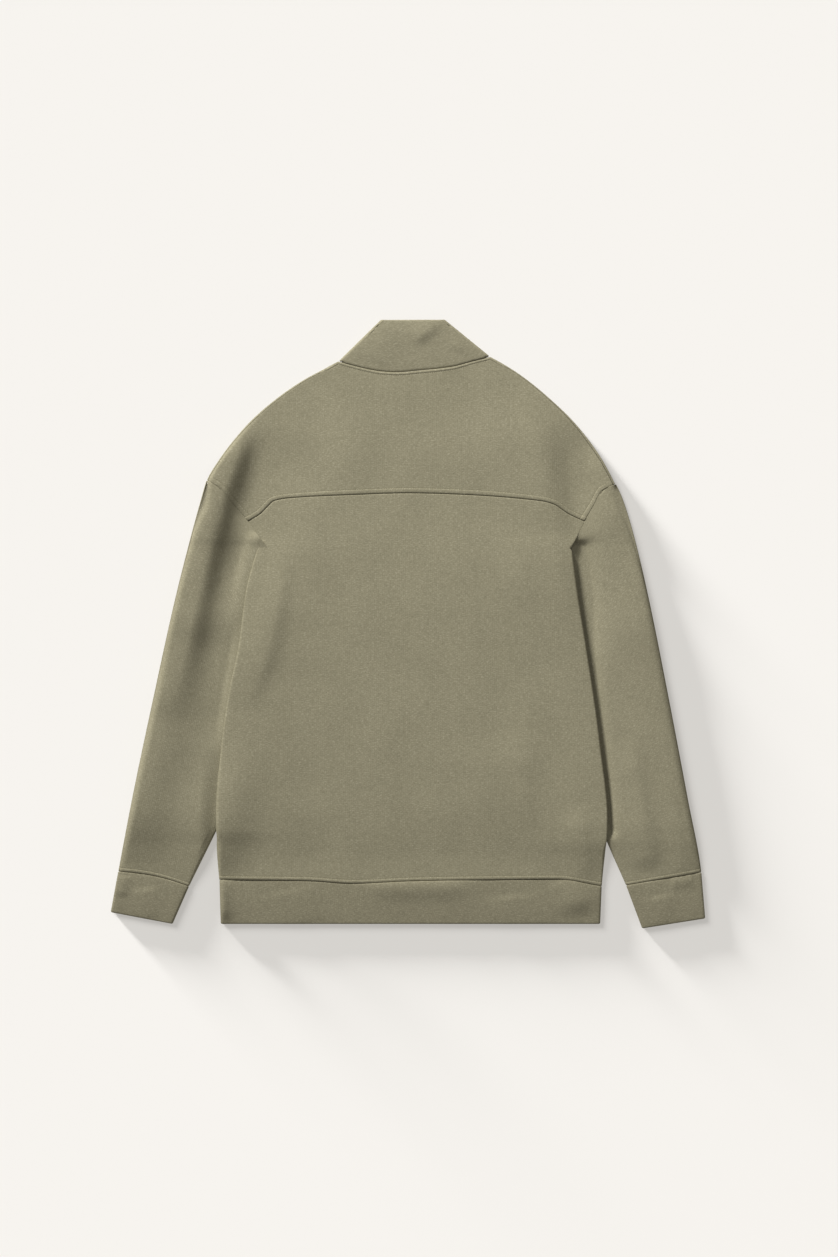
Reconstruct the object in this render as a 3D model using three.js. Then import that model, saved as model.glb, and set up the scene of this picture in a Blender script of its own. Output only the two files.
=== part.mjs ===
// Stand collar sweatshirt, laid flat on its front with the sleeves drawn down beside the body.
// Millimetres. The floor is z = 0, the collar points to +Y and the garment's own left is at -X.
// Every piece is a sheet of cloth: a grid of points on the middle of the sheet, given its thickness
// along the normals. Where the sleeves are drawn down, the body's sides are tucked: back and front
// both turn in under themselves, and the sleeve comes out between the two turned parts.
import * as THREE from 'three';

const CLOTH = 1.8;                 // one layer of brushed sweatshirt knit
const BAND = 2.8;                  // hem and cuffs are folded double
const COLLAR = 3.0;                // the collar too
const SEAM = 0.3;                  // gap between two pieces that are sewn together
const HALF = CLOTH / 2;
const SLIT = 0.6;                  // gap between the collar's two ends

const HEM_END_Y = -384;            // lower edge of the hem band
const COLLAR_TOP = { y: 388.5, left: -35, right: 47.5 };
const FRONT_NECK = { x: 6.5, drop: 90 };
const UNDERARM_Y = 43;

// Heights of the lower face of each layer where all six lie on each other in the side tuck.
const FRONT_TURN = 1.3;            // radius of the front's fold, on the middle of the sheet
const BACK_TURN = 1.4;             // radius of the back's fold
const BASE_Z = CLOTH + SEAM;       // back lying straight on the front
const TUCK_SLEEVE_Z = CLOTH + 2 * FRONT_TURN + SEAM + 0.4;
const TUCK_SLEEVE_TOP_Z = TUCK_SLEEVE_Z + CLOTH + 0.5;
const TUCK_BACK_Z = TUCK_SLEEVE_TOP_Z + CLOTH + SEAM + 2 * BACK_TURN;
const SLEEVE_LIFT = TUCK_SLEEVE_TOP_Z - BASE_Z;
const BODY_LIFT = TUCK_BACK_Z - BASE_Z;

// Half profile of each side: distances from x = 0. "edge" is where the back folds under, "inset" is
// how far the front's fold lies inside the back's, "lift" is how far the back is raised along its
// fold and "sleeveLift" the same for the sleeve beside it.
const LEFT_SIDE = [
  { y: -332, edge: 240.8, inset: 0.0, lift: 1.3, sleeveLift: 0.8 },
  { y: -310, edge: 242.8, inset: 0.0, lift: 2.6, sleeveLift: 0.8 },
  { y: -285, edge: 244.3, inset: 0.0, lift: 5.5, sleeveLift: 2.0 },
  { y: -262, edge: 244.7, inset: 3.0, lift: 9.4, sleeveLift: 4.4 },
  { y: -240, edge: 244.9, inset: 12.0, lift: BODY_LIFT, sleeveLift: SLEEVE_LIFT },
  { y: -150, edge: 237.5, inset: 12.0, lift: BODY_LIFT, sleeveLift: SLEEVE_LIFT },
  { y: -90, edge: 229.0, inset: 12.0, lift: BODY_LIFT, sleeveLift: SLEEVE_LIFT },
  { y: -30, edge: 216.5, inset: 12.0, lift: BODY_LIFT, sleeveLift: SLEEVE_LIFT },
  { y: 43, edge: 206.5, inset: 12.0, lift: BODY_LIFT, sleeveLift: SLEEVE_LIFT },
  { y: 75, edge: 198.4, inset: 10.0, lift: BODY_LIFT, sleeveLift: SLEEVE_LIFT },
  { y: 98, edge: 191.5, inset: 4.0, lift: BODY_LIFT, sleeveLift: SLEEVE_LIFT },
  { y: 108, edge: 188.8, inset: 0.0, lift: 7.0, sleeveLift: SLEEVE_LIFT },
  { y: 128, edge: 184.4, inset: 0.0, lift: 5.8, sleeveLift: 5.8 },
  { y: 143, edge: 181.0, inset: 0.0, lift: 5.4, sleeveLift: 5.4 },
  { y: 200, edge: 168.0, inset: 0.0, lift: 3.8, sleeveLift: 3.8 },
  { y: 260, edge: 155.0, inset: 0.0, lift: 1.8, sleeveLift: 1.8 },
  { y: 340, edge: 140.0, inset: 0.0, lift: 0.0, sleeveLift: 0.0 },
];
const RIGHT_SIDE = [
  { y: -336, edge: 247.8, inset: 0.0, lift: 1.3, sleeveLift: 0.8 },
  { y: -318, edge: 249.4, inset: 0.0, lift: 2.6, sleeveLift: 0.8 },
  { y: -299, edge: 251.4, inset: 0.0, lift: 5.5, sleeveLift: 2.0 },
  { y: -275, edge: 254.0, inset: 3.0, lift: 9.4, sleeveLift: 4.4 },
  { y: -252, edge: 255.0, inset: 12.0, lift: BODY_LIFT, sleeveLift: SLEEVE_LIFT },
  { y: -150, edge: 244.8, inset: 12.0, lift: BODY_LIFT, sleeveLift: SLEEVE_LIFT },
  { y: -90, edge: 236.8, inset: 12.0, lift: BODY_LIFT, sleeveLift: SLEEVE_LIFT },
  { y: -30, edge: 227.5, inset: 12.0, lift: BODY_LIFT, sleeveLift: SLEEVE_LIFT },
  { y: 43, edge: 216.0, inset: 12.0, lift: BODY_LIFT, sleeveLift: SLEEVE_LIFT },
  { y: 75, edge: 211.8, inset: 8.0, lift: BODY_LIFT, sleeveLift: SLEEVE_LIFT },
  { y: 88, edge: 210.1, inset: 4.0, lift: BODY_LIFT, sleeveLift: SLEEVE_LIFT },
  { y: 98, edge: 208.6, inset: 0.0, lift: 7.0, sleeveLift: SLEEVE_LIFT },
  { y: 120, edge: 203.5, inset: 0.0, lift: 6.3, sleeveLift: 6.3 },
  { y: 143, edge: 195.0, inset: 0.0, lift: 6.0, sleeveLift: 6.0 },
  { y: 200, edge: 186.0, inset: 0.0, lift: 5.0, sleeveLift: 5.0 },
  { y: 264, edge: 178.0, inset: 0.0, lift: 3.0, sleeveLift: 3.0 },
  { y: 340, edge: 165.0, inset: 0.0, lift: 0.0, sleeveLift: 0.0 },
];

// Inner folded edge of each sleeve, from the cuff seam up to the underarm.
const LEFT_INNER = [
  { y: -336, x: 280.0 }, { y: -264, x: 244.5 }, { y: -150, x: 190.0 },
  { y: -50, x: 150.0 }, { y: UNDERARM_Y, x: 128.0 },
];
const RIGHT_INNER = [
  { y: -334.7, x: 279.0 }, { y: -277, x: 253.4 }, { y: -150, x: 201.0 },
  { y: -50, x: 163.0 }, { y: UNDERARM_Y, x: 140.0 },
];

// Armhole seam, from the underarm up to the tip of the shoulder.
const LEFT_ARMHOLE = [
  { y: UNDERARM_Y, x: 120.0 }, { y: 55, x: 139.0 }, { y: 72, x: 157.0 }, { y: 90, x: 173.5 },
  { y: 108, x: 188.5 }, { y: 130.5, x: 205.0 }, { y: 154.6, x: 226.0 }, { y: 170, x: 237.5 },
  { y: 183.7, x: 257.0 },
];
const RIGHT_ARMHOLE = [
  { y: UNDERARM_Y, x: 132.0 }, { y: 55, x: 157.0 }, { y: 72, x: 184.0 }, { y: 86, x: 199.0 },
  { y: 98, x: 208.4 }, { y: 115.7, x: 218.6 }, { y: 130.5, x: 226.0 }, { y: 151, x: 238.0 },
  { y: 168, x: 247.0 }, { y: 173.5, x: 255.0 }, { y: 178.6, x: 265.5 },
];

// Outline from the cuff's outer corner over the sleeve and the shoulder to the neck.
const LEFT_OUTLINE = [
  { y: -369, x: 380.2 }, { y: -225.9, x: 353.3 }, { y: -97.9, x: 326.4 }, { y: 30.1, x: 298.2 },
  { y: 106.9, x: 279.0 }, { y: 158.1, x: 265.0 }, { y: 183.7, x: 257.3 }, { y: 209.3, x: 241.9 },
  { y: 234.9, x: 222.7 }, { y: 260.5, x: 199.7 }, { y: 286.1, x: 170.2 }, { y: 311.7, x: 133.0 },
  { y: 324.5, x: 109.0 }, { y: 335, x: 89.0 },
];
const RIGHT_OUTLINE = [
  { y: -377, x: 380.2 }, { y: -315.5, x: 375.0 }, { y: -225.9, x: 358.4 }, { y: -97.9, x: 334.1 },
  { y: 30.1, x: 308.5 }, { y: 106.9, x: 290.6 }, { y: 158.1, x: 275.2 }, { y: 178.6, x: 266.0 },
  { y: 209.3, x: 249.6 }, { y: 234.9, x: 231.7 }, { y: 260.5, x: 209.9 }, { y: 286.1, x: 183.0 },
  { y: 311.7, x: 152.3 }, { y: 327, x: 130.0 }, { y: 341, x: 105.0 },
];

// Seams that run across the back, from left to right.
const YOKE_SEAM = [
  { x: -205, y: 130.5 }, { x: -189, y: 140 }, { x: -180, y: 149 }, { x: -171, y: 157 },
  { x: -151, y: 160.5 }, { x: -75, y: 164.2 }, { x: 0, y: 166.5 }, { x: 60, y: 165 },
  { x: 169, y: 156.5 }, { x: 185, y: 152.5 }, { x: 205.6, y: 139.6 }, { x: 226, y: 130.5 },
];
const NECK_SEAM = [
  { x: -89, y: 335 }, { x: -59, y: 327 }, { x: -34, y: 322.3 }, { x: -14, y: 321.2 },
  { x: 15, y: 323.5 }, { x: 55, y: 328 }, { x: 87, y: 336.5 }, { x: 105, y: 341 },
];
const HEM_SEAM = [
  { x: -241, y: -327.5 }, { x: -130, y: -329 }, { x: -69, y: -332.5 }, { x: 5, y: -329.6 },
  { x: 105, y: -327.8 }, { x: 190, y: -327 }, { x: 248, y: -336 },
];

// Where the yoke seam meets the armholes and crosses the body's side folds.
const YOKE_ENDS = { left: -205, leftFold: -181, rightFold: 191, right: 226 };
// Heights of the two ends of the body's lowest row, and the two ends of the hem band.
const HEM_ROW = { left: -328, right: -336 };
const HEM_BAND = { left: -241, lowLeft: -239.4, right: 247.8, lowRight: 245.8 };
// Columns of the back neckline.
const NECK_COLUMNS = [-89, -59, -26, 6.5, 40, 74, 105];

// Soft folds of the top layer: a valley is a negative height.
const FOLDS = [
  { name: 'left shoulder valley', x0: -200, y0: 262, x1: -226, y1: 150, height: -2.2, width: 26 },
  { name: 'left sleeve valley', x0: -232, y0: 130, x1: -262, y1: 30, height: -1.6, width: 26 },
  { name: 'left sleeve crown', x0: -272, y0: 70, x1: -338, y1: -230, height: 2.2, width: 24 },
  { name: 'right sleeve crown', x0: 282, y0: 60, x1: 342, y1: -230, height: 2.2, width: 24 },
  { name: 'right shoulder valley', x0: 208, y0: 240, x1: 236, y1: 170, height: -1.6, width: 22 },
  { name: 'body crown', x0: 0, y0: 110, x1: 5, y1: -270, height: 0.9, width: 90 },
];

const SIDES = {
  left: { sign: -1, side: LEFT_SIDE, inner: LEFT_INNER, armhole: LEFT_ARMHOLE, outline: LEFT_OUTLINE,
    armholeEase: 0.75, tipY: 183.2, sleeveTipY: 181.5,
    cuffSeam: { outerY: -317, innerY: -336, bow: 4 },
    cuffEnd: { outerX: 380.2, outerY: -369, innerX: 301, innerY: -384 } },
  right: { sign: 1, side: RIGHT_SIDE, inner: RIGHT_INNER, armhole: RIGHT_ARMHOLE, outline: RIGHT_OUTLINE,
    armholeEase: 1.4, tipY: 178.2, sleeveTipY: 176.5,
    cuffSeam: { outerY: -318, innerY: -334.7, bow: 0 },
    cuffEnd: { outerX: 380.2, outerY: -377, innerX: 299.5, innerY: -389.8 } },
};

// ---------- small functions ----------
const clamp = (value, low, high) => Math.min(Math.max(value, low), high);
const mix = (a, b, t) => a + (b - a) * t;

function ease(from, to, value) {
  const t = clamp((value - from) / (to - from), 0, 1);
  return t * t * (3 - 2 * t);
}

// A smooth line through a table, read at one column against another, never overshooting.
function line(table, by, key, at) {
  let i = 0;
  while (i < table.length - 2 && at > table[i + 1][by]) i += 1;
  const slope = (k) => {
    const a = table[clamp(k, 0, table.length - 2)];
    const b = table[clamp(k, 0, table.length - 2) + 1];
    return (b[key] - a[key]) / (b[by] - a[by]);
  };
  const tangent = (k) => {
    const before = slope(k - 1);
    const after = slope(k);
    return before * after > 0 ? 2 * before * after / (before + after) : 0;
  };
  const span = table[i + 1][by] - table[i][by];
  const t = clamp((at - table[i][by]) / span, 0, 1);
  const d = table[i + 1][key] - table[i][key];
  const m0 = (i === 0 ? slope(0) : tangent(i)) * span;
  const m1 = (i === table.length - 2 ? slope(i) : tangent(i + 1)) * span;
  return table[i][key] + t * m0 + t * t * (3 * d - 2 * m0 - m1) + t * t * t * (m0 + m1 - 2 * d);
}

const foldEdge = (which, y) => line(SIDES[which].side, 'y', 'edge', y);
const frontFoldEdge = (which, y) => foldEdge(which, y) - line(SIDES[which].side, 'y', 'inset', y);
const innerEdge = (which, y) => line(SIDES[which].inner, 'y', 'x', y);
const armhole = (which, y) => line(SIDES[which].armhole, 'y', 'x', y);
const outline = (which, y) => line(SIDES[which].outline, 'y', 'x', y);
const crossingY = { left: 108, right: 98 };    // where the armhole seam goes under the body's fold
const lowerTuckY = { left: -262, right: -275 };  // where the tuck ends and the sides hang plain

// ---------- heights of the layers ----------
const NECK_RISE = 2.5;             // the back rises to the collar's back half and to the hem band
const HEM_RISE = 1.3;
const SLEEVE_FALL = 0.8;           // share of its height a sleeve loses away from the body
const FOLDS_START = 25;            // folds begin this far from the body's side folds
const FALL_START = 2;              // the back comes down from here, past the turned part's edge,
const FALL_WIDTH = 83;             // over this much cloth
const ROUND_START = 2;             // the outer edge rounds off from here
const ROUND_WIDTH = 14;
const TURNED_UNDER = 8;            // the turned part reaches this far past the sleeve's inner edge
const CLIMB_WIDTH = 13;            // the sleeve's bottom climbs onto the front over this width

const sideOf = (x) => (x < 6 ? 'left' : 'right');

function foldRelief(x, y) {
  let sum = 0;
  for (const fold of FOLDS) {
    const ax = fold.x1 - fold.x0;
    const ay = fold.y1 - fold.y0;
    const t = clamp(((x - fold.x0) * ax + (y - fold.y0) * ay) / (ax * ax + ay * ay), 0, 1);
    const away = Math.hypot(x - fold.x0 - t * ax, y - fold.y0 - t * ay) / fold.width;
    sum += fold.height * Math.exp(-away * away);
  }
  return sum;
}

function roundEdge(which, x, y) {
  const inside = outline(which, y) - Math.abs(x);
  const t = clamp((inside - ROUND_START) / ROUND_WIDTH, 0, 1);
  return Math.sqrt(1 - (1 - t) * (1 - t));
}

function tuckDepth(which, y) {
  const seam = y > UNDERARM_Y ? armhole(which, y) : innerEdge(which, y) - TURNED_UNDER;
  return Math.max(foldEdge(which, y) - seam, 0);
}

// Lower face of the back, the yoke and, above where the fold starts, of the sleeve's top.
function backZ(x, y) {
  const which = sideOf(x);
  const lift = line(SIDES[which].side, 'y', 'lift', y);
  const inward = foldEdge(which, y) - Math.abs(x);
  const depth = y > crossingY[which] ? 0 : Math.min(tuckDepth(which, y), 100);
  const share = inward > 0
    ? 1 - ease(depth + FALL_START, depth + FALL_START + FALL_WIDTH, inward)
    : 1 - SLEEVE_FALL * ease(0, 60, -inward);
  const folds = foldRelief(x, y) * ease(0, FOLDS_START, Math.abs(inward));
  const rounded = y > 60 ? roundEdge(which, x, y) : 1;
  const neck = NECK_RISE * ease(180, 235, y) * (1 - ease(100, 128, Math.abs(x - FRONT_NECK.x)));
  const hem = HEM_RISE * (1 - ease(-332, -290, y)) * ease(0, 60, inward);
  return BASE_Z + Math.max(lift * share + folds, 0.3) * rounded + neck + hem;
}

// Lower face of the sleeve's bottom layer: it climbs onto the front's fold where it goes under the body.
function sleeveBottomZ(which, x, y) {
  const outside = Math.abs(x) - frontFoldEdge(which, y);
  const climb = clamp((CLIMB_WIDTH + 1 - outside) / CLIMB_WIDTH, 0, 1);
  const along = y > 0
    ? 1 - ease(crossingY[which] - 2, crossingY[which] + 14, y)
    : ease(lowerTuckY[which] - 24, lowerTuckY[which] + 4, y);
  return TUCK_SLEEVE_Z * climb * along;
}

// Lower face of the sleeve's top layer.
function sleeveTopZ(which, x, y) {
  const lift = line(SIDES[which].side, 'y', 'sleeveLift', y);
  const outward = Math.abs(x) - foldEdge(which, y);
  const share = 1 - SLEEVE_FALL * ease(0, 60, outward);
  const fromSide = y > crossingY[which] ? Math.abs(outward) : outward;
  const folds = foldRelief(x, y) * ease(0, FOLDS_START, fromSide);
  const height = Math.max(lift * share + folds, 0.3) * roundEdge(which, x, y);
  return Math.max(BASE_Z + height, sleeveBottomZ(which, x, y) + CLOTH + SEAM);
}

// ---------- solids from grids ----------
const point = (x, y, z) => new THREE.Vector3(x, y, z);

// A closed sheet of the given thickness about a grid of points. With round = true the columns join up.
function sheet(rows, thickness, round = false) {
  const count = rows[0].length;
  const columnAt = (c) => (round ? (c + count) % count : clamp(c, 0, count - 1));
  const faces = [[], []];
  rows.forEach((row, r) => {
    const above = rows[Math.min(r + 1, rows.length - 1)];
    const below = rows[Math.max(r - 1, 0)];
    row.forEach((middle, c) => {
      const across = row[columnAt(c + 1)].clone().sub(row[columnAt(c - 1)]);
      const along = above[c].clone().sub(below[c]);
      const normal = across.cross(along).normalize();
      faces[0].push(middle.clone().addScaledVector(normal, thickness / 2));
      faces[1].push(middle.clone().addScaledVector(normal, -thickness / 2));
    });
  });
  const vertices = [...faces[0], ...faces[1]];
  const other = faces[0].length;
  const id = (r, c) => r * count + columnAt(c);
  const triangles = [];
  const quad = (a, b, c, d) => triangles.push([a, b, c], [a, c, d]);
  const last = rows.length - 1;
  const spans = round ? count : count - 1;
  for (let r = 0; r < last; r += 1) {
    for (let c = 0; c < spans; c += 1) {
      quad(id(r, c), id(r, c + 1), id(r + 1, c + 1), id(r + 1, c));
      quad(other + id(r, c), other + id(r + 1, c), other + id(r + 1, c + 1), other + id(r, c + 1));
    }
  }
  for (let c = 0; c < spans; c += 1) {
    quad(other + id(0, c), other + id(0, c + 1), id(0, c + 1), id(0, c));
    quad(id(last, c), id(last, c + 1), other + id(last, c + 1), other + id(last, c));
  }
  if (!round) {
    const end = count - 1;
    for (let r = 0; r < last; r += 1) {
      quad(id(r, 0), id(r + 1, 0), other + id(r + 1, 0), other + id(r, 0));
      quad(other + id(r, end), other + id(r + 1, end), id(r + 1, end), id(r, end));
    }
  }
  return solid(vertices, triangles);
}

function solid(vertices, triangles) {
  let volume = 0;
  for (const [a, b, c] of triangles) {
    volume += vertices[a].dot(vertices[b].clone().cross(vertices[c]));
  }
  const ordered = volume > 0 ? triangles : triangles.map(([a, b, c]) => [a, c, b]);
  const geometry = new THREE.BufferGeometry();
  const flat = vertices.flatMap((v) => [v.x, v.y, v.z]);
  geometry.setAttribute('position', new THREE.Float32BufferAttribute(flat, 3));
  geometry.setIndex(ordered.flat());
  geometry.computeVertexNormals();
  return geometry;
}

// ---------- body: back, front and yoke ----------
const ARC_STEPS = 4;
const ARMHOLE_STRIP = { back: 4, front: 16 };  // cloth beside the armhole seam, in columns of its own
const LAST_STRIP = 7;              // and its last strip is this wide
const EDGE_STEPS = [0.18, 0.35];   // short upright ends of the plain sides below the tuck
const MIDDLE_SHARES = [0.06, 0.13, 0.2, 0.3, 0.4, 0.5, 0.6, 0.7, 0.8, 0.87, 0.94];
const FRONT_SHARES = [
  0.05, 0.12, 0.19, 0.25, 0.31, 0.37, 0.44, 0.5, 0.56, 0.63, 0.69, 0.75, 0.81, 0.88, 0.95,
];
// Rows of the body's grid, from the hem up: the height of each at its left and its right end.
const BODY_ROWS = [
  { left: -310, right: -318 }, { left: -285, right: -299 }, { left: -262, right: -275 },
  { left: -240, right: -252 }, { left: -200, right: -205 }, { left: -150, right: -150 },
  { left: -100, right: -100 }, { left: -50, right: -50 }, { left: -5, right: -5 },
  { left: 20, right: 20 }, { left: 43, right: 43 }, { left: 70, right: 64 },
  { left: 87, right: 77 }, { left: 98, right: 88 }, { left: 108, right: 98 },
];

// Distances from x = 0 and heights of one side of a layer, from where its fold starts to its sewn edge.
function sidePath(which, y, layer) {
  const isBack = layer === 'back';
  const up = isBack ? -1 : 1;
  const edge = isBack ? foldEdge(which, y) : frontFoldEdge(which, y);
  const sign = SIDES[which].sign;
  const start = isBack ? backZ(sign * (edge - 2), y) + HALF : HALF;
  const places = [];
  if (y >= crossingY[which]) {
    const outer = armhole(which, y) - SEAM / 2;
    const inner = isBack ? Math.min(edge, outer - ARMHOLE_STRIP.back) : outer - ARMHOLE_STRIP.front;
    for (let k = 0; k <= ARC_STEPS + 2; k += 1) {
      const x = mix(inner, outer, k / (ARC_STEPS + 2));
      places.push({ x, z: isBack ? backZ(sign * x, y) + HALF : HALF });
    }
    return places;
  }
  const tucked = y > lowerTuckY[which] - 1;
  const topZ = isBack ? start : backZ(sign * foldEdge(which, y), y) + HALF;
  const turn = tucked ? Math.PI : Math.PI / 2;
  const plain = (topZ - HALF) / 2 - 0.5;
  const radius = tucked ? (isBack ? BACK_TURN : FRONT_TURN) : plain;
  const centre = edge - radius - HALF;
  for (let k = 0; k <= ARC_STEPS; k += 1) {
    const angle = turn * k / ARC_STEPS;
    places.push({ x: centre + radius * Math.sin(angle), z: start + up * radius * (1 - Math.cos(angle)) });
  }
  if (!tucked) {
    const end = places[ARC_STEPS];
    EDGE_STEPS.forEach((step) => places.push({ x: end.x, z: end.z + up * step }));
    return places;
  }
  const sewn = y > UNDERARM_Y ? armhole(which, y) : innerEdge(which, y) - TURNED_UNDER;
  const joined = 1 - ease(UNDERARM_Y - 22, UNDERARM_Y - 2, y);
  const flatZ = start + up * 2 * radius;
  const otherZ = isBack ? HALF + 2 * FRONT_TURN : topZ - 2 * BACK_TURN;
  const meetZ = (flatZ + otherZ) / 2 - up * (HALF + SEAM / 2);
  places.push({ x: Math.min(sewn + LAST_STRIP, centre - 0.5), z: flatZ });
  places.push({ x: Math.min(sewn, centre - 2), z: mix(flatZ, meetZ, joined) });
  return places;
}

function bodyRow(at, layer, shares) {
  const left = sidePath('left', at.left, layer);
  const right = sidePath('right', at.right, layer);
  const row = left.slice().reverse().map((p) => point(-p.x, at.left, p.z));
  for (const share of shares) {
    const x = mix(-left[0].x, right[0].x, share);
    const y = mix(at.left, at.right, share);
    row.push(point(x, y, layer === 'back' ? backZ(x, y) + HALF : HALF));
  }
  right.forEach((p) => row.push(point(p.x, at.right, p.z)));
  return row;
}

// The lowest row follows the hem seam.
function hemRow(layer, shares) {
  return bodyRow(HEM_ROW, layer, shares).map((p) => (
    point(p.x, line(HEM_SEAM, 'x', 'y', p.x) + SEAM / 2, p.z)));
}

// Plan points along the yoke seam, one for each column of the back.
function yokeSeamStations() {
  const xs = [];
  const steps = ARC_STEPS + 2;
  const { left, leftFold, rightFold, right } = YOKE_ENDS;
  for (let k = 0; k <= steps; k += 1) xs.push(mix(left + SEAM / 2, leftFold, k / steps));
  MIDDLE_SHARES.forEach((share) => xs.push(mix(leftFold, rightFold, share)));
  for (let k = 0; k <= steps; k += 1) xs.push(mix(rightFold, right - SEAM / 2, k / steps));
  return xs.map((x) => ({ x, y: line(YOKE_SEAM, 'x', 'y', x) }));
}

function backPanel() {
  const rows = [hemRow('back', MIDDLE_SHARES), ...BODY_ROWS.map((at) => bodyRow(at, 'back', MIDDLE_SHARES))];
  const lower = rows[rows.length - 1];
  const seam = yokeSeamStations();
  for (const t of [0.35, 0.7, 1]) {
    rows.push(seam.map((s, i) => {
      const x = mix(lower[i].x, s.x, t);
      const y = mix(lower[i].y, s.y - SEAM / 2, t);
      return point(x, y, backZ(x, y) + HALF);
    }));
  }
  return sheet(rows, CLOTH);
}

// Plan points along the top of the yoke or the front: shoulder, neck, shoulder.
function topStations(neckPoints, shoulderRows, tipGap) {
  const stations = [];
  const left = SIDES.left.outline;
  const right = SIDES.right.outline;
  const leftYs = [SIDES.left.tipY, ...shoulderRows];
  const rightYs = [SIDES.right.tipY, ...shoulderRows];
  leftYs.forEach((y) => stations.push({ x: -line(left, 'y', 'x', y), y }));
  neckPoints.forEach((p) => stations.push(p));
  rightYs.slice().reverse().forEach((y) => stations.push({ x: line(right, 'y', 'x', y), y }));
  stations[0].x += tipGap;
  stations[stations.length - 1].x -= tipGap;
  return stations;
}

function backNeckStations() {
  return NECK_COLUMNS.map((x) => ({ x, y: line(NECK_SEAM, 'x', 'y', x) }));
}

const NECK_STEPS = 5;

// Front neckline: a quarter ellipse on each side.
function frontNeckStations() {
  const stations = [];
  for (let k = -NECK_STEPS; k <= NECK_STEPS; k += 1) {
    const angle = (Math.PI / 2) * (Math.abs(k) / NECK_STEPS);
    const corner = k < 0 ? NECK_SEAM[0] : NECK_SEAM[NECK_SEAM.length - 1];
    const bottom = NECK_SEAM[0].y - FRONT_NECK.drop;
    stations.push({
      x: mix(FRONT_NECK.x, corner.x, Math.sin(angle)),
      y: mix(corner.y, bottom, Math.cos(angle)),
    });
  }
  return stations;
}

// Rows that lead from a lower edge to an upper edge, with the armhole's curve at both ends.
function rise(lower, upper, steps, height) {
  const rows = [];
  for (const t of steps) {
    rows.push(lower.map((from, i) => {
      const y = mix(from.y, upper[i].y, t);
      let x = mix(from.x, upper[i].x, t);
      const fromEnd = Math.min(i, lower.length - 1 - i);
      const which = i < lower.length / 2 ? 'left' : 'right';
      const end = i < lower.length / 2 ? 0 : lower.length - 1;
      const endY = mix(lower[end].y, upper[end].y, t);
      const straight = mix(lower[end].x, upper[end].x, t);
      const curved = SIDES[which].sign * (armhole(which, endY) - SEAM / 2);
      x += (curved - straight) * (1 - ease(0, 9, fromEnd)) * (t > 0 && t < 1 ? 1 : 0);
      return point(x, y, height(x, y));
    }));
  }
  return rows;
}

function yoke() {
  const lower = yokeSeamStations().map((s) => ({ x: s.x, y: s.y + SEAM / 2 }));
  const tip = [188, 193, 199, 206, 214, 223];
  const neck = backNeckStations().map((p) => ({ x: p.x, y: p.y - SEAM / 2 }));
  const upper = topStations(neck, [...tip, 260, 294], SEAM / 2);
  return sheet(rise(lower, upper, [0, 0.17, 0.34, 0.52, 0.7, 0.88, 1], (x, y) => backZ(x, y) + HALF), CLOTH);
}

function frontPanel() {
  const rows = [hemRow('front', FRONT_SHARES), ...BODY_ROWS.map((at) => bodyRow(at, 'front', FRONT_SHARES))];
  const lower = rows[rows.length - 1];
  const tip = [185.5, 188, 191, 194, 198, 204];
  const neck = frontNeckStations();
  const upper = topStations(neck.map((p) => ({ x: p.x, y: p.y - SEAM / 2 })), [...tip, 250, 300], SEAM / 2);
  return sheet([...rows, ...rise(lower, upper, [0.2, 0.4, 0.6, 0.8, 1], () => HALF)], CLOTH);
}

// ---------- sleeves, cuffs and hem ----------
// A flattened round of cloth between an outer and an inner folded edge. "plan" gives the place at a
// share of the way across, "low" and "high" the heights of the middle of the two layers.
function flatRound(plan, low, high, topShares, bottomShares, gap) {
  const width = Math.hypot(plan(1).x - plan(0).x, plan(1).y - plan(0).y);
  const ring = [];
  const turn = (share, inward) => {
    const at = plan(share);
    const z0 = low(at.x, at.y);
    const z1 = high(at.x, at.y);
    const radius = (z1 - z0) / 2;
    const inset = (radius + gap) / width;
    const centre = plan(share + inward * inset);
    const far = plan(share + inward * (inset + 1 / width));
    const ux = centre.x - far.x;
    const uy = centre.y - far.y;
    for (let k = 0; k <= ARC_STEPS; k += 1) {
      const angle = Math.PI * (inward > 0 ? k : ARC_STEPS - k) / ARC_STEPS;
      const out = radius * Math.sin(angle);
      ring.push(point(centre.x + ux * out, centre.y + uy * out, (z0 + z1) / 2 - radius * Math.cos(angle)));
    }
  };
  turn(0, 1);
  for (const share of topShares) {
    const at = plan(share);
    ring.push(point(at.x, at.y, high(at.x, at.y)));
  }
  turn(1, -1);
  for (const share of bottomShares) {
    const at = plan(share);
    ring.push(point(at.x, at.y, low(at.x, at.y)));
  }
  return ring;
}

// Plan of a ring of the sleeve: a slanting line that leaves the armhole seam and turns square to the cuff.
function sleevePlan(which, along) {
  const { sign, cuffSeam, armholeEase, sleeveTipY } = SIDES[which];
  const outerY = mix(sleeveTipY, cuffSeam.outerY + SEAM / 2, along);
  const innerY = mix(UNDERARM_Y, cuffSeam.innerY + SEAM / 2, along);
  const outerX = outline(which, outerY);
  const innerX = innerEdge(which, innerY);
  const near = Math.pow(clamp(1 - along / 0.3, 0, 1), 2);
  return (share) => {
    const bow = cuffSeam.bow * Math.sin(Math.PI * clamp(share, 0, 1));
    const y = mix(outerY, innerY, share) + bow * along * along;
    const straight = mix(outerX, innerX, share);
    const atSeam = near * ease(0, 0.06, share) * ease(1, 0.9, share);
    const x = mix(straight, armhole(which, y) + armholeEase, atSeam);
    return { x: sign * x, y };
  };
}

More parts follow.
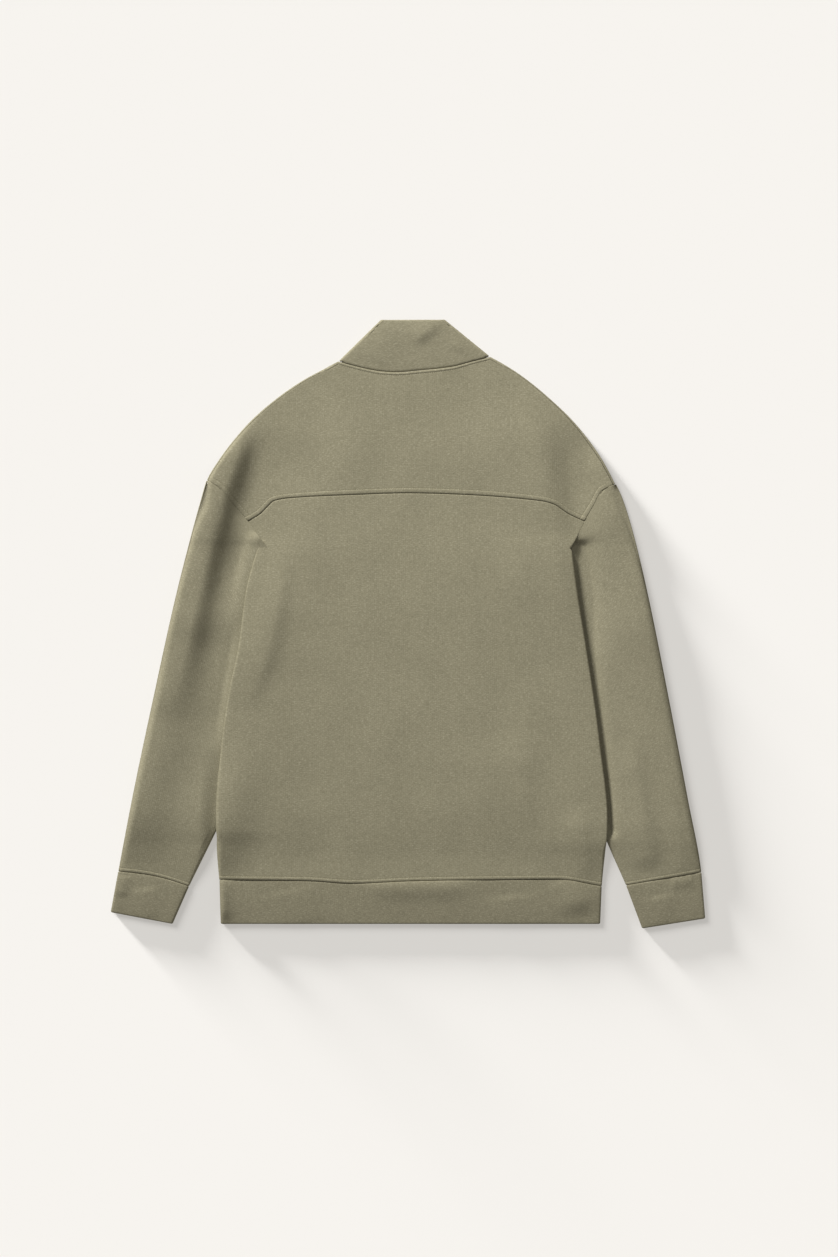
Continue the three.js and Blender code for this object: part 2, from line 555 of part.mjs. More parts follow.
// Share of the way across at which a ring passes a given line, or a limit if it never does.
function crossing(plan, edgeAt, limit) {
  const outside = (share) => Math.abs(plan(share).x) - edgeAt(plan(share).y);
  if (outside(1) > 0) return limit;
  let from = 0;
  let to = 1;
  for (let k = 0; k < 30; k += 1) {
    const middle = (from + to) / 2;
    if (outside(middle) > 0) from = middle;
    else to = middle;
  }
  return clamp(from, 0.3, limit);
}

const SLEEVE_RINGS = {
  left: [0, 0.04, 0.09, 0.15, 0.22, 0.3, 0.38, 0.46, 0.54, 0.62, 0.68, 0.735, 0.785, 0.83, 0.9, 1],
  right: [0, 0.04, 0.09, 0.15, 0.22, 0.3, 0.38, 0.46, 0.54, 0.62, 0.7, 0.77, 0.82, 0.87, 0.93, 1],
};

function sleeve(which) {
  const rings = SLEEVE_RINGS[which].map((along) => {
    const plan = sleevePlan(which, along);
    const width = Math.abs(plan(1).x - plan(0).x);
    const atFold = crossing(plan, (y) => foldEdge(which, y), 0.9);
    const atClimb = crossing(plan, (y) => frontFoldEdge(which, y) + 14, 0.84);
    const onFront = Math.max(crossing(plan, (y) => frontFoldEdge(which, y) + 1, 0.93), atClimb + 0.02);
    const past = Math.min(14 / width, 0.5 * (0.97 - onFront));
    const near = 16 / width;
    const top = [7 / width, near, mix(near, atFold, 0.25), mix(near, atFold, 0.5), mix(near, atFold, 0.75),
      atFold, mix(atFold, 1, 0.5)];
    const bottom = [onFront + past, onFront, atClimb, mix(0, atClimb, 0.66), mix(0, atClimb, 0.33)];
    const low = (x, y) => sleeveBottomZ(which, x, y) + HALF;
    const high = (x, y) => sleeveTopZ(which, x, y) + HALF;
    return flatRound(plan, low, high, top, bottom, HALF);
  });
  return sheet(rings, CLOTH, true);
}

// A band that is folded double and sewn into a round, lying flat between two lines.
function flatBand(plans, topShares, bottomShares) {
  const low = () => BAND / 2;
  const high = () => BAND / 2 + BAND + SEAM;
  const under = bottomShares.slice().reverse();
  const rings = plans.map((plan) => flatRound(plan, low, high, topShares, under, BAND / 2));
  return sheet(rings, BAND, true);
}

function cuff(which) {
  const { sign, cuffSeam, cuffEnd } = SIDES[which];
  const outer = { x: outline(which, cuffSeam.outerY), y: cuffSeam.outerY - SEAM };
  const inner = { x: innerEdge(which, cuffSeam.innerY), y: cuffSeam.innerY - SEAM };
  const plans = [0, 0.5, 1].map((t) => (share) => ({
    x: sign * mix(mix(outer.x, cuffEnd.outerX, t), mix(inner.x, cuffEnd.innerX, t), share),
    y: mix(mix(outer.y, cuffEnd.outerY, t), mix(inner.y, cuffEnd.innerY, t), share)
      + cuffSeam.bow * Math.sin(Math.PI * clamp(share, 0, 1)) * (1 - t),
  }));
  const shares = [0.12, 0.28, 0.44, 0.6, 0.75, 0.9];
  return flatBand(plans, shares, shares);
}

function hemBand() {
  const plans = [0, 0.5, 1].map((t) => (share) => {
    const x = mix(mix(HEM_BAND.left, HEM_BAND.lowLeft, t), mix(HEM_BAND.right, HEM_BAND.lowRight, t), share);
    return { x, y: mix(line(HEM_SEAM, 'x', 'y', x) - SEAM / 2, HEM_END_Y, t) };
  });
  const across = (layer, shares) => hemRow(layer, shares).slice(ARC_STEPS + 3, -ARC_STEPS - 3)
    .map((p) => (p.x - HEM_BAND.left) / (HEM_BAND.right - HEM_BAND.left));
  return flatBand(plans, across('back', MIDDLE_SHARES), across('front', FRONT_SHARES));
}

// ---------- collar ----------
// One band, folded at its two slanting sides: the back half lies on the front half. Its two ends
// meet at the middle of the front.
const NECK_CORNERS = [
  { sign: -1, base: NECK_SEAM[0], top: { x: COLLAR_TOP.left, y: COLLAR_TOP.y } },
  { sign: 1, base: NECK_SEAM[NECK_SEAM.length - 1], top: { x: COLLAR_TOP.right, y: COLLAR_TOP.y } },
];
const COLLAR_FOLD = 2.0;           // radius of the fold, on the middle of the band
const COLLAR_FRONT_HEIGHT = 65;    // at the middle of the front
const COLLAR_LOW_Z = COLLAR / 2;
const COLLAR_HIGH_Z = COLLAR_LOW_Z + 2 * COLLAR_FOLD;

// Columns of one front half, from the middle of the front up towards the fold.
function collarFront(corner) {
  const columns = [];
  const neck = frontNeckStations();
  const freeEdgeY = neck[NECK_STEPS].y + COLLAR_FRONT_HEIGHT;
  for (let k = 0; k < NECK_STEPS; k += 1) {
    const angle = (Math.PI / 2) * (k / NECK_STEPS);
    const base = neck[NECK_STEPS + corner.sign * k];
    const slit = corner.sign * SLIT / 2 * (1 - k / NECK_STEPS);
    columns.push({
      base: { x: base.x + slit - corner.sign * SEAM * Math.sin(angle), y: base.y + SEAM / 2 },
      top: {
        x: mix(FRONT_NECK.x, corner.top.x, Math.sin(angle)) + slit,
        y: mix(corner.top.y, freeEdgeY, Math.cos(angle)),
      },
      z: COLLAR_LOW_Z,
    });
  }
  return columns;
}

// Columns round one fold, from the front half up to the back half.
function collarFold(corner) {
  const columns = [];
  const slant = Math.SQRT2;
  for (let k = 0; k <= ARC_STEPS; k += 1) {
    const angle = Math.PI * k / ARC_STEPS;
    const inset = (COLLAR_FOLD + COLLAR / 2 - COLLAR_FOLD * Math.sin(angle)) * slant;
    columns.push({
      base: { x: corner.base.x - corner.sign * inset, y: corner.base.y + SEAM / 2 },
      top: { x: corner.top.x - corner.sign * inset, y: corner.top.y },
      z: COLLAR_LOW_Z + COLLAR_FOLD * (1 - Math.cos(angle)),
    });
  }
  return columns;
}

function collar() {
  const [left, right] = NECK_CORNERS;
  const back = backNeckStations().slice(1, -1).map((p) => ({
    base: { x: p.x, y: p.y + SEAM / 2 },
    top: {
      x: mix(left.top.x, right.top.x, (p.x - left.base.x) / (right.base.x - left.base.x)),
      y: COLLAR_TOP.y,
    },
    z: COLLAR_HIGH_Z,
  }));
  const columns = [
    ...collarFront(left), ...collarFold(left), ...back,
    ...collarFold(right).reverse(), ...collarFront(right).reverse(),
  ];
  const rows = [0, 0.5, 1].map((t) => columns.map((c) => (
    point(mix(c.base.x, c.top.x, t), mix(c.base.y, c.top.y, t), c.z))));
  return sheet(rows, COLLAR);
}

// ---------- the garment ----------
const knit = { color: 0x8f8971, roughness: 0.95, metalness: 0 };
const bandKnit = { color: 0x87816a, roughness: 0.95, metalness: 0 };

const garment = new THREE.Group();
function add(name, geometry, look) {
  const mesh = new THREE.Mesh(geometry, new THREE.MeshStandardMaterial(look));
  mesh.name = name;
  garment.add(mesh);
}

add('front_panel', frontPanel(), knit);
add('back_panel', backPanel(), knit);
add('back_yoke', yoke(), knit);
for (const which of ['left', 'right']) {
  add(`sleeve_${which}`, sleeve(which), knit);
  add(`cuff_${which}`, cuff(which), bandKnit);
}
add('hem_band', hemBand(), bandKnit);
add('collar', collar(), bandKnit);

export default garment;
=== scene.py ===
import math

import bpy
import numpy as np
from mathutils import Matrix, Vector


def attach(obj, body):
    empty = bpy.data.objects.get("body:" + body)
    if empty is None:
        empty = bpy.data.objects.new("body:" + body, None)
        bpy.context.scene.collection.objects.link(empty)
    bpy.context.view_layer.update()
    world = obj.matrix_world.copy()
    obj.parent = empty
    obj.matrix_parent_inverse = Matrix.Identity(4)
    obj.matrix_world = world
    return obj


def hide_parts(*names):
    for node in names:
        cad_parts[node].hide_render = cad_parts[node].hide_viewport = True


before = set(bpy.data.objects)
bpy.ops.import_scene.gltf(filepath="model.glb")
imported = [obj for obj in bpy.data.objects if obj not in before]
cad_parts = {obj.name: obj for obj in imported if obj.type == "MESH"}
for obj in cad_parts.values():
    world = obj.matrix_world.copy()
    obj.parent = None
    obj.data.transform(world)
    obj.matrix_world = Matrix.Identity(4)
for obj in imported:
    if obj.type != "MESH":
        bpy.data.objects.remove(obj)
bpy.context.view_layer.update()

# Millimetres in all the tables and functions; a mesh is written in metres.
CLOTH = 1.8          # one layer of brushed sweatshirt knit
BAND = 2.8           # hem and cuffs: one wall that stands for two layers
COLLAR = 3.0         # the collar: the same
SEAM = 0.3
HALF = CLOTH / 2
FRONT_TURN = 1.3
BACK_TURN = 1.4
BASE_Z = CLOTH + SEAM
TUCK_SLEEVE_Z = CLOTH + 2 * FRONT_TURN + SEAM + 0.4
TUCK_SLEEVE_TOP_Z = TUCK_SLEEVE_Z + CLOTH + 0.5
TUCK_BACK_Z = TUCK_SLEEVE_TOP_Z + CLOTH + SEAM + 2 * BACK_TURN
SLEEVE_LIFT = TUCK_SLEEVE_TOP_Z - BASE_Z
BODY_LIFT = TUCK_BACK_Z - BASE_Z
HEM_END_Y = -384.0
UNDERARM_Y = 43.0
COLLAR_TOP_Y = 388.0
COLLAR_TOP = (-35.0, 47.5)                      # x of the two ends of its free edge
NECK_LEFT, NECK_RIGHT = (-89.0, 335.0), (105.0, 341.0)   # ends of the neck seam
NECK_MIDDLE_X, NECK_FRONT_Y = 6.5, 245.0        # the front neckline's lowest point
YOKE_LEFT_X, YOKE_RIGHT_X = -205, 226           # ends of the yoke seam
HEM_LEFT, HEM_RIGHT = (-241, -327.5), (247.8, -336)      # ends of the hem seam
LOOP_PITCH = 1.25                               # one column of the knit's loops
CAMERA_HEIGHT, VIEW_HEIGHT = 4.0, 1.609         # metres; what the frame's long side takes in

# Columns: y, distance of the fold from x = 0, how far the front's fold lies inside it, lift of the
# back along the fold, lift of the sleeve beside it.
LEFT_SIDE = [
    (-332, 240.8, 0, 1.3, 0.8), (-310, 242.8, 0, 2.6, 0.8), (-285, 244.3, 0, 5.5, 2.0),
    (-262, 244.7, 3, 9.4, 4.4), (-240, 244.9, 12, BODY_LIFT, SLEEVE_LIFT),
    (-150, 237.5, 12, BODY_LIFT, SLEEVE_LIFT), (-90, 229.0, 12, BODY_LIFT, SLEEVE_LIFT),
    (-30, 216.5, 12, BODY_LIFT, SLEEVE_LIFT), (43, 206.5, 12, BODY_LIFT, SLEEVE_LIFT),
    (75, 198.4, 10, 9.4, SLEEVE_LIFT), (98, 191.5, 4, 8.1, SLEEVE_LIFT),
    (108, 188.8, 0, 7.3, 6.2), (128, 184.4, 0, 6.4, 6.4), (143, 181.0, 0, 6.0, 6.0),
    (200, 168.0, 0, 4.3, 4.3), (260, 155.0, 0, 1.8, 1.8), (340, 140.0, 0, 0.0, 0.0)]
RIGHT_SIDE = [
    (-336, 247.8, 0, 1.3, 0.8), (-318, 249.4, 0, 2.6, 0.8), (-299, 251.4, 0, 5.5, 2.0),
    (-275, 254.0, 3, 9.4, 4.4), (-252, 255.0, 12, BODY_LIFT, SLEEVE_LIFT),
    (-150, 244.8, 12, BODY_LIFT, SLEEVE_LIFT), (-90, 236.8, 12, BODY_LIFT, SLEEVE_LIFT),
    (-30, 227.5, 12, BODY_LIFT, SLEEVE_LIFT), (43, 216.0, 12, BODY_LIFT, SLEEVE_LIFT),
    (75, 211.8, 8, 9.7, SLEEVE_LIFT), (88, 210.1, 4, 8.9, SLEEVE_LIFT),
    (98, 208.6, 0, 8.2, SLEEVE_LIFT), (120, 203.5, 0, 6.3, 6.3), (143, 195.0, 0, 6.0, 6.0),
    (200, 186.0, 0, 5.0, 5.0), (264, 178.0, 0, 3.0, 3.0), (340, 165.0, 0, 0.0, 0.0)]
# Columns of the next six: y, distance from x = 0.
LEFT_INNER = [(-336, 280.0), (-264, 244.5), (-150, 190.0), (-50, 150.0), (43, 128.0)]
RIGHT_INNER = [(-334.7, 279.0), (-277, 253.4), (-150, 201.0), (-50, 163.0), (43, 140.0)]
LEFT_ARMHOLE = [(43, 120.0), (55, 139.0), (72, 157.0), (90, 173.5), (108, 188.5), (130.5, 205.0),
                (154.6, 226.0), (170, 237.5), (183.7, 257.0)]
RIGHT_ARMHOLE = [(43, 132.0), (55, 157.0), (72, 184.0), (86, 199.0), (98, 208.4), (115.7, 218.6),
                 (130.5, 226.0), (151, 238.0), (168, 247.0), (173.5, 255.0), (178.6, 265.5)]
LEFT_OUTLINE = [(-369, 380.2), (-225.9, 353.3), (-97.9, 326.4), (30.1, 298.2), (106.9, 279.0),
                (158.1, 265.0), (183.7, 257.3), (209.3, 241.9), (234.9, 222.7), (260.5, 199.7),
                (286.1, 170.2), (311.7, 133.0), (324.5, 109.0), (335, 89.0)]
RIGHT_OUTLINE = [(-377, 380.2), (-315.5, 375.0), (-225.9, 358.4), (-97.9, 334.1), (30.1, 308.5),
                 (106.9, 290.6), (158.1, 275.2), (178.6, 266.0), (209.3, 249.6), (234.9, 231.7),
                 (260.5, 209.9), (286.1, 183.0), (311.7, 152.3), (327, 130.0), (341, 105.0)]
# Seams across the back. Columns: x, y.
YOKE_SEAM = [(-205, 130.5), (-189, 140), (-180, 149), (-171, 157), (-151, 160.5), (-75, 164.2),
             (0, 166.5), (60, 165), (169, 156.5), (185, 152.5), (205.6, 139.6), (226, 130.5)]
NECK_SEAM = [(-89, 335), (-59, 327), (-34, 322.3), (-14, 321.2), (15, 323.5), (55, 328),
             (87, 336.5), (105, 341)]
HEM_SEAM = [(-241, -327.5), (-130, -329), (-69, -332.5), (5, -329.6), (105, -327.8), (190, -327),
            (248, -336)]
# Which height at the left end of a row of the body goes with which at its right end.
ROW_PAIRS = [(-327.5, -336), (-310, -318), (-285, -299), (-262, -275), (-240, -252), (-200, -205),
             (-150, -150), (-5, -5), (43, 43), (70, 64), (87, 77), (98, 88), (108, 98), (122, 122),
             (130.5, 130.5)]

# Height of the middle of the back over the front. Columns: y, height. It is in this script only:
# the back of the CAD lies lower.
DOME = [(-340, 0.8), (-310, 2.3), (-275, 4.2), (-230, 6.0), (-150, 7.3), (0, 7.8), (90, 7.0),
        (130, 6.1), (200, 4.9), (260, 3.7), (340, 2.0)]

# Creases of the top layer. Columns: path, height, width to its left, width to its right, and the
# share of its length over which it fades at each end. A trough has a negative height. On a path
# that runs down the garment, left is towards the garment's right sleeve.
CREASES = [
    # left shoulder and sleeve: the outer part stands up and falls steeply towards the body
    ([(-209, 272), (-222, 206), (-235, 168), (-248, 123), (-258, 78), (-270, 28), (-283, -30), (-294, -76),
      (-308, -130)], 13.0, 22, 80, .16, .35),
    ([(-186, 262), (-200, 204), (-213, 163), (-226, 118), (-236, 73), (-246, 22), (-256, -30)],
     -5.0, 80, 17, .2, .4),
    # left side of the body
    ([(-194, 128), (-202, 90), (-208, 45), (-212, 15)], 1.6, 16, 9, .3, .35),
    ([(-150, 120), (-158, 80), (-174, -8), (-190, -62), (-216, -116)], 3.6, 15, 42, .45, .3),
    ([(-224, -140), (-230, -200), (-244, -290), (-250, -350)], 6.0, 34, 60, .5, .3),
    # right side of the yoke and the body
    ([(140, 310), (156, 250), (166, 210), (176, 168), (183, 124), (188, 70), (198, 0), (208, -60)],
     4.0, 24, 110, .25, .35),
    ([(232, 232), (248, 190), (260, 150), (268, 110)], 2.4, 24, 18, .3, .3),
    ([(194, 268), (206, 222), (214, 180), (218, 145), (220, 112), (222, 84)], -5.0, 40, 24, .4, .55),
    ([(138, -130), (142, -200), (140, -310)], 2.6, 24, 60, .3, .55),
    ([(215, -230), (222, -290), (224, -345)], 2.0, 16, 20, .3, .3),
    # right sleeve
    ([(280, -140), (296, -230), (312, -320)], 3.0, 14, 24, .3, .15),
]
# Only on the sleeves: how they lie beside the body's folds, and their crowns.
SLEEVE_CREASES = [
    ([(206, 112), (210, 80), (217, 40), (226, -20), (235, -70), (244, -140), (252, -220), (255, -278)],
     -9.0, 9, 8, .03, .04),
    ([(210, 106), (217, 82), (223, 40), (229, -8), (240, -90)], -9.5, 17, 14, .07, .65),
    ([(-184, 132), (-190, 112), (-197, 94)], 0.9, 9, 26, .35, .35),
    ([(270, 100), (290, 10), (308, -80), (328, -180), (344, -280), (350, -345)], 3.6, 26, 50, .25, .08),
    ([(-294, -10), (-322, -130), (-344, -220), (-360, -300), (-366, -345)], 11.5, 48, 16, .3, .36),
    ([(-222, 16), (-231, -40), (-241, -100), (-250, -170)], -4.0, 9, 50, .3, .3),
]


def ease(low, high, value):
    t = np.clip((value - low) / (high - low), 0, 1)
    return t * t * (3 - 2 * t)


def mix(a, b, t):
    return a + (b - a) * t


def larger(a, b, softness=0.5):
    return 0.5 * (a + b + np.sqrt((a - b) ** 2 + softness * softness))


class Line:
    """A smooth line through a table that never overshoots, read at column 0."""

    def __init__(self, table, column=1):
        rows = np.array(table, float)
        self.at, self.value = rows[:, 0], rows[:, column]
        slope = np.diff(self.value) / np.diff(self.at)
        self.tangent = np.zeros(len(self.at))
        self.tangent[0], self.tangent[-1] = slope[0], slope[-1]
        a, b = slope[:-1], slope[1:]
        same = a * b > 0
        self.tangent[1:-1][same] = 2 * a[same] * b[same] / (a[same] + b[same])

    def __call__(self, where):
        where = np.asarray(where, float)
        i = np.clip(np.searchsorted(self.at, where) - 1, 0, len(self.at) - 2)
        span = self.at[i + 1] - self.at[i]
        t = np.clip((where - self.at[i]) / span, 0, 1)
        d = self.value[i + 1] - self.value[i]
        m0, m1 = self.tangent[i] * span, self.tangent[i + 1] * span
        return self.value[i] + t * m0 + t * t * (3 * d - 2 * m0 - m1) + t ** 3 * (m0 + m1 - 2 * d)


class Side:
    def __init__(self, sign, side, inner, arm, outline, arm_ease, crossing, lower, tip, cuff_seam,
                 cuff_end):
        self.sign = sign
        self.edge, self.inset = Line(side, 1), Line(side, 2)
        self.lift, self.sleeve_lift = Line(side, 3), Line(side, 4)
        self.inner, self.armhole, self.outline = Line(inner), Line(arm), Line(outline)
        self.arm_ease, self.crossing, self.lower, self.tip = arm_ease, crossing, lower, tip
        self.cuff_seam, self.cuff_end = cuff_seam, cuff_end


LEFT = Side(-1, LEFT_SIDE, LEFT_INNER, LEFT_ARMHOLE, LEFT_OUTLINE, 0.1, 108, -262, 183.4,
            {"outer": -317.0, "inner": -336.0, "bow": 4.0}, ((380.2, -369.0), (301.0, -384.0)))
RIGHT = Side(1, RIGHT_SIDE, RIGHT_INNER, RIGHT_ARMHOLE, RIGHT_OUTLINE, 0.1, 98, -275, 178.3,
             {"outer": -318.0, "inner": -334.7, "bow": 0.0}, ((380.2, -377.0), (299.5, -389.8)))
yoke_y, neck_y, hem_y, dome = Line(YOKE_SEAM), Line(NECK_SEAM), Line(HEM_SEAM), Line(DOME)


def smooth_path(points, parts=6):
    """The path's points with more between them, on a smooth curve."""
    p = np.array(points, float)
    p = np.vstack([2 * p[0] - p[1], p, 2 * p[-1] - p[-2]])
    out = []
    for i in range(1, len(p) - 2):
        for t in np.arange(parts) / parts:
            a, b, c, d = p[i - 1], p[i], p[i + 1], p[i + 2]
            out.append(0.5 * (2 * b + (c - a) * t + (2 * a - 5 * b + 4 * c - d) * t * t
                              + (3 * b - a - 3 * c + d) * t ** 3))
    out.append(p[-2])
    return np.array(out)


def crease(x, y, path, height, left, right, fade_in, fade_out):
    """Height of one ridge or trough at x, y."""
    p = smooth_path(path)
    step = np.diff(p, axis=0)
    length = np.hypot(step[:, 0], step[:, 1])
    done = np.concatenate([[0], np.cumsum(length)])
    best = np.full(x.shape, 1e9)
    along = np.zeros(x.shape)
    side = np.zeros(x.shape)
    for i in range(len(step)):
        rx, ry = x - p[i, 0], y - p[i, 1]
        t = np.clip((rx * step[i, 0] + ry * step[i, 1]) / length[i] ** 2, 0, 1)
        away = np.hypot(rx - t * step[i, 0], ry - t * step[i, 1])
        near = away < best
        best = np.where(near, away, best)
        along = np.where(near, (done[i] + t * length[i]) / done[-1], along)
        side = np.where(near, step[i, 0] * ry - step[i, 1] * rx, side)
    width = np.where(side > 0, left, right)
    return (height * np.exp(-(best / width) ** 2)
            * ease(0, fade_in, along) * (1 - ease(1 - fade_out, 1, along)))


def relief(x, y, table):
    total = np.zeros(np.shape(x))
    for row in table:
        total = total + crease(x, y, *row)
    return total


waves = np.random.default_rng(7)
WAVES = [(waves.uniform(60, 150), waves.uniform(0, 2 * math.pi), waves.uniform(0, 2 * math.pi),
          waves.uniform(0.03, 0.12)) for _ in range(14)]


def unevenness(x, y):
    """The slight waviness of cloth that lies loose."""
    total = np.zeros(np.shape(x))
    for wave, angle, phase, height in WAVES:
        total = total + height * np.sin(
            2 * math.pi * (x * math.cos(angle) + y * math.sin(angle)) / wave + phase)
    return total


def folds(x, y):
    return relief(x, y, CREASES) + unevenness(x, y)


def edge_round(side, x, y, reach=8.0):
    inside = side.outline(y) - side.sign * x
    t = np.clip((inside - 1) / reach, 0, 1)
    return np.sqrt(np.clip(1 - (1 - t) ** 2, 0, 1))


def back_z(x, y):
    """Lower face of the back and the yoke."""
    x, y = np.broadcast_arrays(np.asarray(x, float), np.asarray(y, float))
    wave = folds(x, y)
    heights = []
    for side in (LEFT, RIGHT):
        inward = side.edge(y) - side.sign * x
        over = mix(side.lift(y), dome(y), ease(12, 130, inward))
        beside = side.lift(y) * (1 - 0.1 * ease(0, 60, -inward))
        rounded = mix(1, edge_round(side, side.sign * np.abs(x), y), ease(60, 90, y))
        hem = 1.3 * (1 - ease(-332, -290, y)) * ease(0, 60, inward)
        heights.append(larger(np.where(inward > 0, over, beside) + wave, 0.4) * rounded + hem)
    neck = 1.2 * ease(140, 318, y) * (1 - ease(84, 140, np.abs(x - 6.5)))
    return BASE_Z + mix(heights[0], heights[1], ease(-90, 100, x)) + neck


def sleeve_bottom_z(side, x, y):
    outside = np.abs(x) - (side.edge(y) - side.inset(y))
    climb = np.clip((14 - outside) / 13, 0, 1)
    along = np.where(y > 0, 1 - ease(side.crossing - 2, side.crossing + 14, y),
                     ease(side.lower - 24, side.lower + 4, y))
    return TUCK_SLEEVE_Z * climb * along


def sleeve_top_z(side, x, y):
    outward = np.abs(x) - side.edge(y)
    share = 1 - 0.1 * ease(0, 60, outward)
    free = mix(ease(0, 22, outward), 1, ease(side.crossing, side.crossing + 12, y))
    height = larger(side.sleeve_lift(y) * share + folds(x, y) * free + relief(x, y, SLEEVE_CREASES), 0.4)
    height = height * edge_round(side, x, y)
    return larger(BASE_Z + height, sleeve_bottom_z(side, x, y) + CLOTH + SEAM, 0.2)


# ---------- sheets from grids ----------
# Distances of the rows next to a plain edge.
CUT_EDGE = [0, 0.2, 0.45, 0.8, 1.3, 2.0, 3.0, 4.2, 5.6, 7.4]
# The same for the two edges of a band, as shares of its height.
BAND_SEAM_EDGE = [0, 0.005, 0.011, 0.02, 0.033, 0.055, 0.09]
BAND_FREE_EDGE = [0, 0.005, 0.012, 0.022, 0.036, 0.06, 0.1]


def stitched_edge(at):
    """Distances from a seam whose seam allowance is stitched down at the given distance."""
    return [0, 0.2, 0.45, 0.8, 1.3, 2.0, at - 1.8, at - 1.1, at - 0.6, at - 0.25, at, at + 0.25,
            at + 0.6, at + 1.1, at + 1.9, at + 3.0]


def spread(length, near_start, near_end, parts):
    """Distances across each column: fixed ones near both ends, even ones between."""
    length = np.asarray(length, float)
    start, end = np.array(near_start)[:, None], np.array(near_end)[::-1][:, None]
    t = (np.arange(1, parts) / parts)[:, None]
    middle = mix(start[-1], length - end[0], t)
    return np.vstack([start + 0 * length, middle, length - end + 0 * length])


def soft_edge(distance, radius=1.0):
    """Share of the thickness that is left near an edge that rolls off."""
    t = np.clip(distance / radius, 0, 1)
    return np.sqrt(np.clip(1 - (1 - t) ** 2, 0.06, 1))


def ditch(distance, depth=0.3, width=1.3):
    return -depth * (1 - ease(0, width, distance))


def allowance(distance, at, rise=0.55, groove=0.42):
    """Raised strip over a seam allowance and the groove of the stitches that hold it."""
    strip = rise * (ease(0.2, 1.8, distance) - ease(at - 0.9, at + 1.6, distance))
    return strip - groove * np.exp(-((distance - at) / 0.75) ** 2)


pieces = {}


class Cloth:
    """A closed sheet of the given thickness about a grid of points on its middle."""

    def __init__(self, name, grid, thickness, uv, closed=False, slot="knit"):
        rows, count = grid.shape[:2]
        thickness = np.broadcast_to(thickness, (rows, count))
        if closed:
            across = np.roll(grid, -1, 1) - np.roll(grid, 1, 1)
        else:
            across = np.gradient(grid, axis=1)
        normal = np.cross(across, np.gradient(grid, axis=0))
        normal /= np.linalg.norm(normal, axis=2, keepdims=True) + 1e-12
        self.outer = grid + normal * thickness[..., None] / 2
        inner = grid - normal * thickness[..., None] / 2
        self.normal = normal
        vertices = np.vstack([self.outer.reshape(-1, 3), inner.reshape(-1, 3)])
        ids = np.arange(rows * count).reshape(rows, count)
        if closed:
            ids = np.hstack([ids, ids[:, :1]])
            uv = np.concatenate([uv, uv[:, :1] + (uv[:, -1:] - uv[:, -2:-1])], axis=1)
        other = rows * count
        uv_at = uv.reshape(-1, 2)
        place = np.arange(uv_at.shape[0]).reshape(ids.shape)

        def quads(a, b, c, d):
            return np.stack([a.ravel(), b.ravel(), c.ravel(), d.ravel()], 1)

        corner = [(slice(None, -1), slice(None, -1)), (slice(None, -1), slice(1, None)),
                  (slice(1, None), slice(1, None)), (slice(1, None), slice(None, -1))]
        top = quads(*[ids[c] for c in corner])
        faces = [top, other + top[:, ::-1]]
        top_uv = quads(*[place[c] for c in corner])
        uvs = [top_uv, top_uv[:, ::-1]]
        for edge, turn in ((0, True), (-1, False)):
            a, b = ids[edge][:-1], ids[edge][1:]
            pa, pb = place[edge][:-1], place[edge][1:]
            faces.append(quads(other + a, other + b, b, a) if turn else quads(a, b, other + b, other + a))
            uvs.append(quads(pa, pb, pb, pa))
        if not closed:
            for edge, turn in ((0, False), (-1, True)):
                a, b = ids[:-1, edge], ids[1:, edge]
                pa, pb = place[:-1, edge], place[1:, edge]
                faces.append(quads(other + a, other + b, b, a) if turn
                             else quads(a, b, other + b, other + a))
                uvs.append(quads(pa, pb, pb, pa))
        faces, uvs = np.vstack(faces), np.vstack(uvs)
        p = vertices[faces]
        volume = np.einsum("ij,ij->i", p[:, 0], np.cross(p[:, 1], p[:, 2])).sum()
        volume += np.einsum("ij,ij->i", p[:, 0], np.cross(p[:, 2], p[:, 3])).sum()
        if volume < 0:
            faces, uvs = faces[:, ::-1], uvs[:, ::-1]
        self.object = add_mesh(name, vertices, faces, uv_at[uvs.ravel()] / 1000)


def add_mesh(name, vertices, faces, loop_uv=None):
    mesh = bpy.data.meshes.new(name)
    mesh.from_pydata((np.asarray(vertices) / 1000).tolist(), [], [list(map(int, face)) for face in faces])
    mesh.validate()
    if loop_uv is not None:
        layer = mesh.uv_layers.new(name="cloth")
        layer.data.foreach_set("uv", np.asarray(loop_uv, np.float32).ravel())
    mesh.shade_smooth()
    piece = bpy.data.objects.new(name, mesh)
    bpy.context.collection.objects.link(piece)
    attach(piece, "root")
    pieces[name] = piece
    return piece


# ---------- body ----------
ARCS = 8


